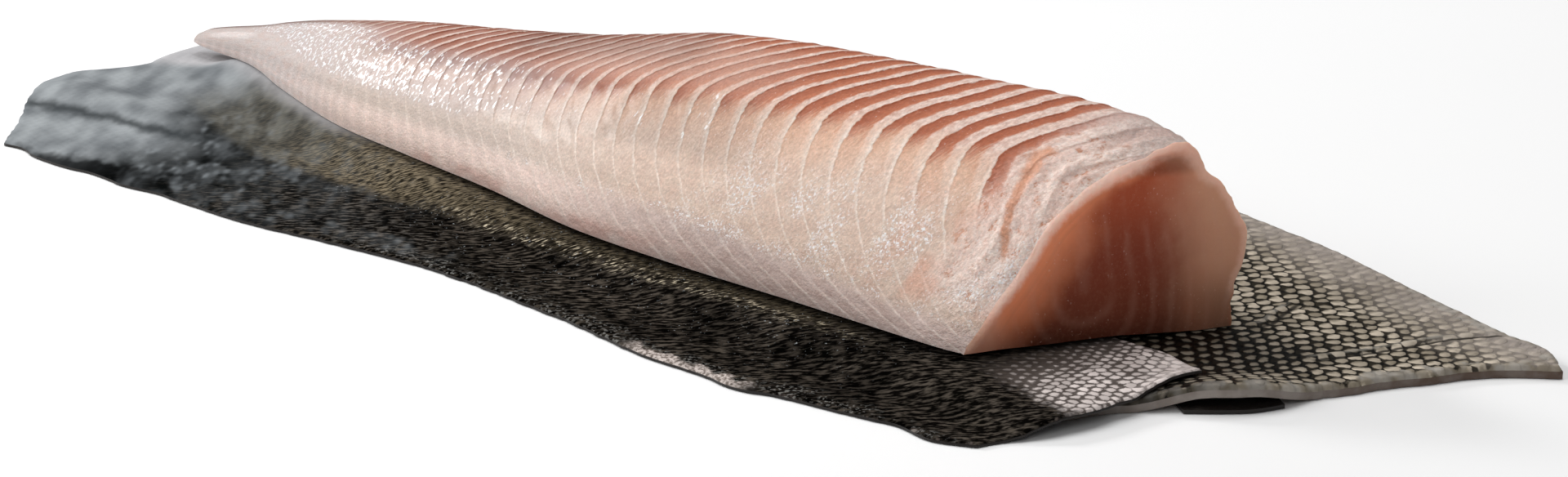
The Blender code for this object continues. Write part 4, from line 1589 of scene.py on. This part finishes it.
        # pale side beside the loin: partly the skin's colour, partly painted sheen
        pale = self.mix(haze, (.36, .358, .37), (.57, .555, .565))
        pale_reach = 1 + 14 * x.fall(-390, -365) - 4 * x.ease(-290, -235)
        pale_zone = (1 - (off + wander * .15).ease(pale_reach - 6, pale_reach + 6))
        pale_zone = pale_zone * x.fall(-285, -235)
        colour = self.mix(pale_zone * .95, colour, pale)
        # the crease: painted shade
        crease = (y - 32.3 - (x + 371) * .224 + 76.3 + (haze - .5) * 9).math("ABSOLUTE")
        crease = crease.fall(.0, 6) * x.fall(-312, -295) * x.ease(-388, -372)
        colour = self.mix(crease * .8, colour, (.035, .040, .043))

        # flesh that was left on the near border
        bare = x.ease(-78, -66) * x.fall(-36, -24) * y.fall(-46, -42)
        bare = bare * (1 - (border + (patchy - .5) * 16).ease(2, 4.5))
        flesh = self.mix(fine.ease(.4, .6), (.20, .165, .145), (.66, .58, .54))
        colour = self.mix(bare * .95, colour, flesh)

        # pale scaled tip in front of the cut, and the shade under the loin
        tip = (y + x * .18 + (haze - .5) * 14 + (fine - .5) * 8).ease(-5, 3)
        tip = tip * x.ease(2, 24) * x.fall(51.6, 52.2)
        shade = 1 - (x + y * .15 + (haze - .5) * 12).ease(14, 40)
        scale = self.mix(chance, (.48, .425, .405), (.78, .70, .67))
        thin = (fine - .5) * 1.3 + (haze - .5) * 1.4
        gap = (radius + thin + shade * .45).ease(.62, 1.15)
        gap = gap.math("MAXIMUM", 1 - (edge - thin * .4).ease(.02, .2))
        gap = gap * (1 - (x + y * .6).ease(52, 68) * .7)
        scale = self.mix(gap * .9, scale, (.045, .034, .028))
        scale = self.mix(shade * .7, scale, (.048, .037, .031))
        colour = self.mix(tip, colour, scale)
        contact = off.fall(.5, 5.5) * x.fall(0, 8) * x.ease(-300, -200)
        under_cut = (1 - (x - y * LoinForm.cut_slant).ease(.5, 6)) * x.ease(-2, 1)
        colour = self.scaled(colour, 1 - contact.math("MAXIMUM", under_cut) * .85)
        frayed = border.fall(.3, 1.6) * patchy.ease(.5, .62) * x.ease(-60, 20) * .5
        colour = self.mix(frayed, colour, (.20, .16, .14))

        # relief
        normal = self.bump(1 - radius.ease(.1, 1.15), .10, .9)
        normal = self.bump(ripple * (1 - leftward * .8), .35, .9, under=normal)
        normal = self.bump(fine, .05, .7, under=normal)
        wet = ripple.ease(.5, .62) * (1 - tip) * (1 - leftward)
        return self.dress(Base_Color=colour, Roughness=.55 - patchy * .1,
                          Coat_Weight=wet * .09, Normal=normal)


# ------------------------------------------------------------------ stage
@dataclass(frozen=True)
class Softbox:
    """A large soft lamp."""

    name: str
    towards: tuple[float, float, float]   # direction from the fillet
    distance: float
    size: tuple[float, float]
    power: float
    colour: Colour = (1, 1, 1)

    def hang(self, target: Vector) -> None:
        """Adds the lamp, aimed at a point.

        Args:
            target: the point, in model metres.
        """
        data = bpy.data.lights.new(self.name, "AREA")
        data.shape = "RECTANGLE"
        data.size, data.size_y = self.size
        data.energy = self.power
        data.color = self.colour
        lamp = bpy.data.objects.new(self.name, data)
        bpy.context.scene.collection.objects.link(lamp)
        towards = Vector(self.towards).normalized()
        lamp.location = target + towards * self.distance
        lamp.rotation_mode = "QUATERNION"
        lamp.rotation_quaternion = towards.to_track_quat("Z", "Y")


@dataclass(frozen=True)
class Stage:
    """Floor, soft light and camera."""

    floor_size: float = 8.0
    floor_colour: Colour = (.96, .96, .96)
    world_strength: float = 0.09
    lamps: tuple[Softbox, ...] = (
        Softbox("key", (-.875, -.12, .47), 2.6, (.62, .46), 26.5),
        Softbox("top", (-.1, .25, 1), 1.8, (1.5, 1.5), 21),
        Softbox("sheen", (-.90, .42, .30), 1.6, (.5, .3), 1.4),
        Softbox("fill", (-.45, -.8, .60), 1.8, (1.0, .7), 12),
        Softbox("front", (.62, -.5, .6), 1.8, (.9, .9), 4.5),
        Softbox("tail glow", (-.75, -.6, .25), .6, (.3, .3), .42),
    )
    camera_spot: tuple[float, float, float] = (706.0, -698.0, 359.0)   # bench millimetres
    aim: tuple[float, float, float] = (-160.0, 30.0, 20.0)     # of all lamps, the same
    floor_drop: float = .0002       # metres below what lies on it
    clip: tuple[float, float] = (.01, 50.0)
    camera_dip: float = math.radians(18)
    camera_turn: float = math.radians(48)
    lens: float = 93.75
    sensor: float = 36.0

    def build(self) -> None:
        """Adds everything that isn't part of the fillet."""
        self._floor()
        target = BENCH.point(*self.aim)
        for lamp in self.lamps:
            lamp.hang(target)
        world = bpy.data.worlds.new("studio")
        world.use_nodes = True
        glow = world.node_tree.nodes["Background"].inputs
        glow["Color"].default_value = (1, 1, 1, 1)
        glow["Strength"].default_value = self.world_strength
        bpy.context.scene.world = world
        bpy.context.scene.view_settings.view_transform = "Standard"
        self._camera()

    def _floor(self) -> None:
        """Adds the plain pale floor just under the fillet."""
        deselect_all()
        bpy.ops.mesh.primitive_plane_add(size=self.floor_size,
                                         location=(0, 0, -self.floor_drop))
        floor = bpy.context.object
        floor.name = "floor"
        paint = Finish("pale_floor", Roughness=.8)
        spot = paint.vector(*paint.place())
        tone = .985 + paint.noise(spot, 300) * .03
        floor.data.materials.append(paint.dress(Base_Color=paint.scaled(self.floor_colour, tone)))

    def _camera(self) -> None:
        """Adds the camera at the photograph's angle."""
        data = bpy.data.cameras.new("camera")
        data.lens, data.sensor_width = self.lens, self.sensor
        data.clip_start, data.clip_end = self.clip
        camera = bpy.data.objects.new("camera", data)
        bpy.context.scene.collection.objects.link(camera)
        camera.location = BENCH.point(*self.camera_spot)
        camera.rotation_euler = (math.pi / 2 - self.camera_dip, 0, self.camera_turn)
        bpy.context.scene.camera = camera


# ------------------------------------------------------------------ putting it together
def settle(thing: bpy.types.Object, node: str, slot: str,
           *materials: bpy.types.Material) -> None:
    """Smooths and dresses a piece and hands it to the frame.

    Args:
        thing: the piece.
        node: the CAD node that it stands for.
        slot: the record's material slot of its finish; not used.
        materials: its finishes, in the order of its slots.
    """
    for index, material in enumerate(materials):
        if index < len(thing.data.materials):
            thing.data.materials[index] = material
        else:
            thing.data.materials.append(material)
    make_active(thing)
    bpy.ops.object.shade_smooth_by_angle(angle=SMOOTH_ANGLE)
    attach(thing, BODY)
    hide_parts(node)
    log.info("%s: %d faces", thing.name, len(thing.data.polygons))


@dataclass(frozen=True)
class Scrap:
    """The scrap of dark skin caught under the far strip's lifted edge."""

    thickness: float = 1.0
    spans: tuple[int, int] = (60, 18)

    def build(self) -> bpy.types.Object:
        """Models the scrap.

        Returns:
            The scrap, with no material yet.
        """
        hidden = tuple((x + SCRAP_REACH[0], y + SCRAP_REACH[1]) for x, y in SCRAP_EDGE)
        ends = ((SCRAP_EDGE[0], hidden[0]), (SCRAP_EDGE[-1], hidden[-1]))
        plan = patch((SCRAP_EDGE, hidden, *ends), self.spans, 0)
        border = edge_distance(plan)
        x, y = plan[..., 0], plan[..., 1]
        points = np.dstack([plan, np.zeros_like(x)])
        thing = add_grid("skin_scrap_piece", points)
        carry(thing, "border", border)
        thicken(thing, self.thickness)
        places = bench_points(thing)
        top = SkinStrip.top_of(thing, places, x.size)
        waves = .25 * grain(places[:, 0] / 3, places[:, 1] / 3, seed=41)
        places[top, 2] += waves[top] * ease(carried(thing, "border")[top], 0, 1)
        set_bench_points(thing, places)
        return thing


def main() -> None:
    """Builds every piece round the frame."""
    logging.basicConfig(level=logging.INFO, format="%(name)s: %(message)s")
    Stage().build()
    settle(Loin().build(), "fillet", "flesh", Flesh().make(), CutFace().make())
    raw = SkinBack("raw_grey_skin", (.27, .237, .213), (.098, .062, .044)).make()
    black = SkinBack("raw_dark_skin", (.020, .016, .014), (.006, .005, .005)).make()
    dark = DarkSkin(NEAR_STRIP.lattice).make()
    settle(NEAR_STRIP.build(), "skin_near", "dark_skin", dark, black)
    settle(FAR_STRIP.build(), "skin_far", "grey_skin", GreySkin(FAR_STRIP.lattice).make(), raw)
    settle(Scrap().build(), "skin_scrap", "dark_skin", black)


if __name__ == "__main__":
    main()
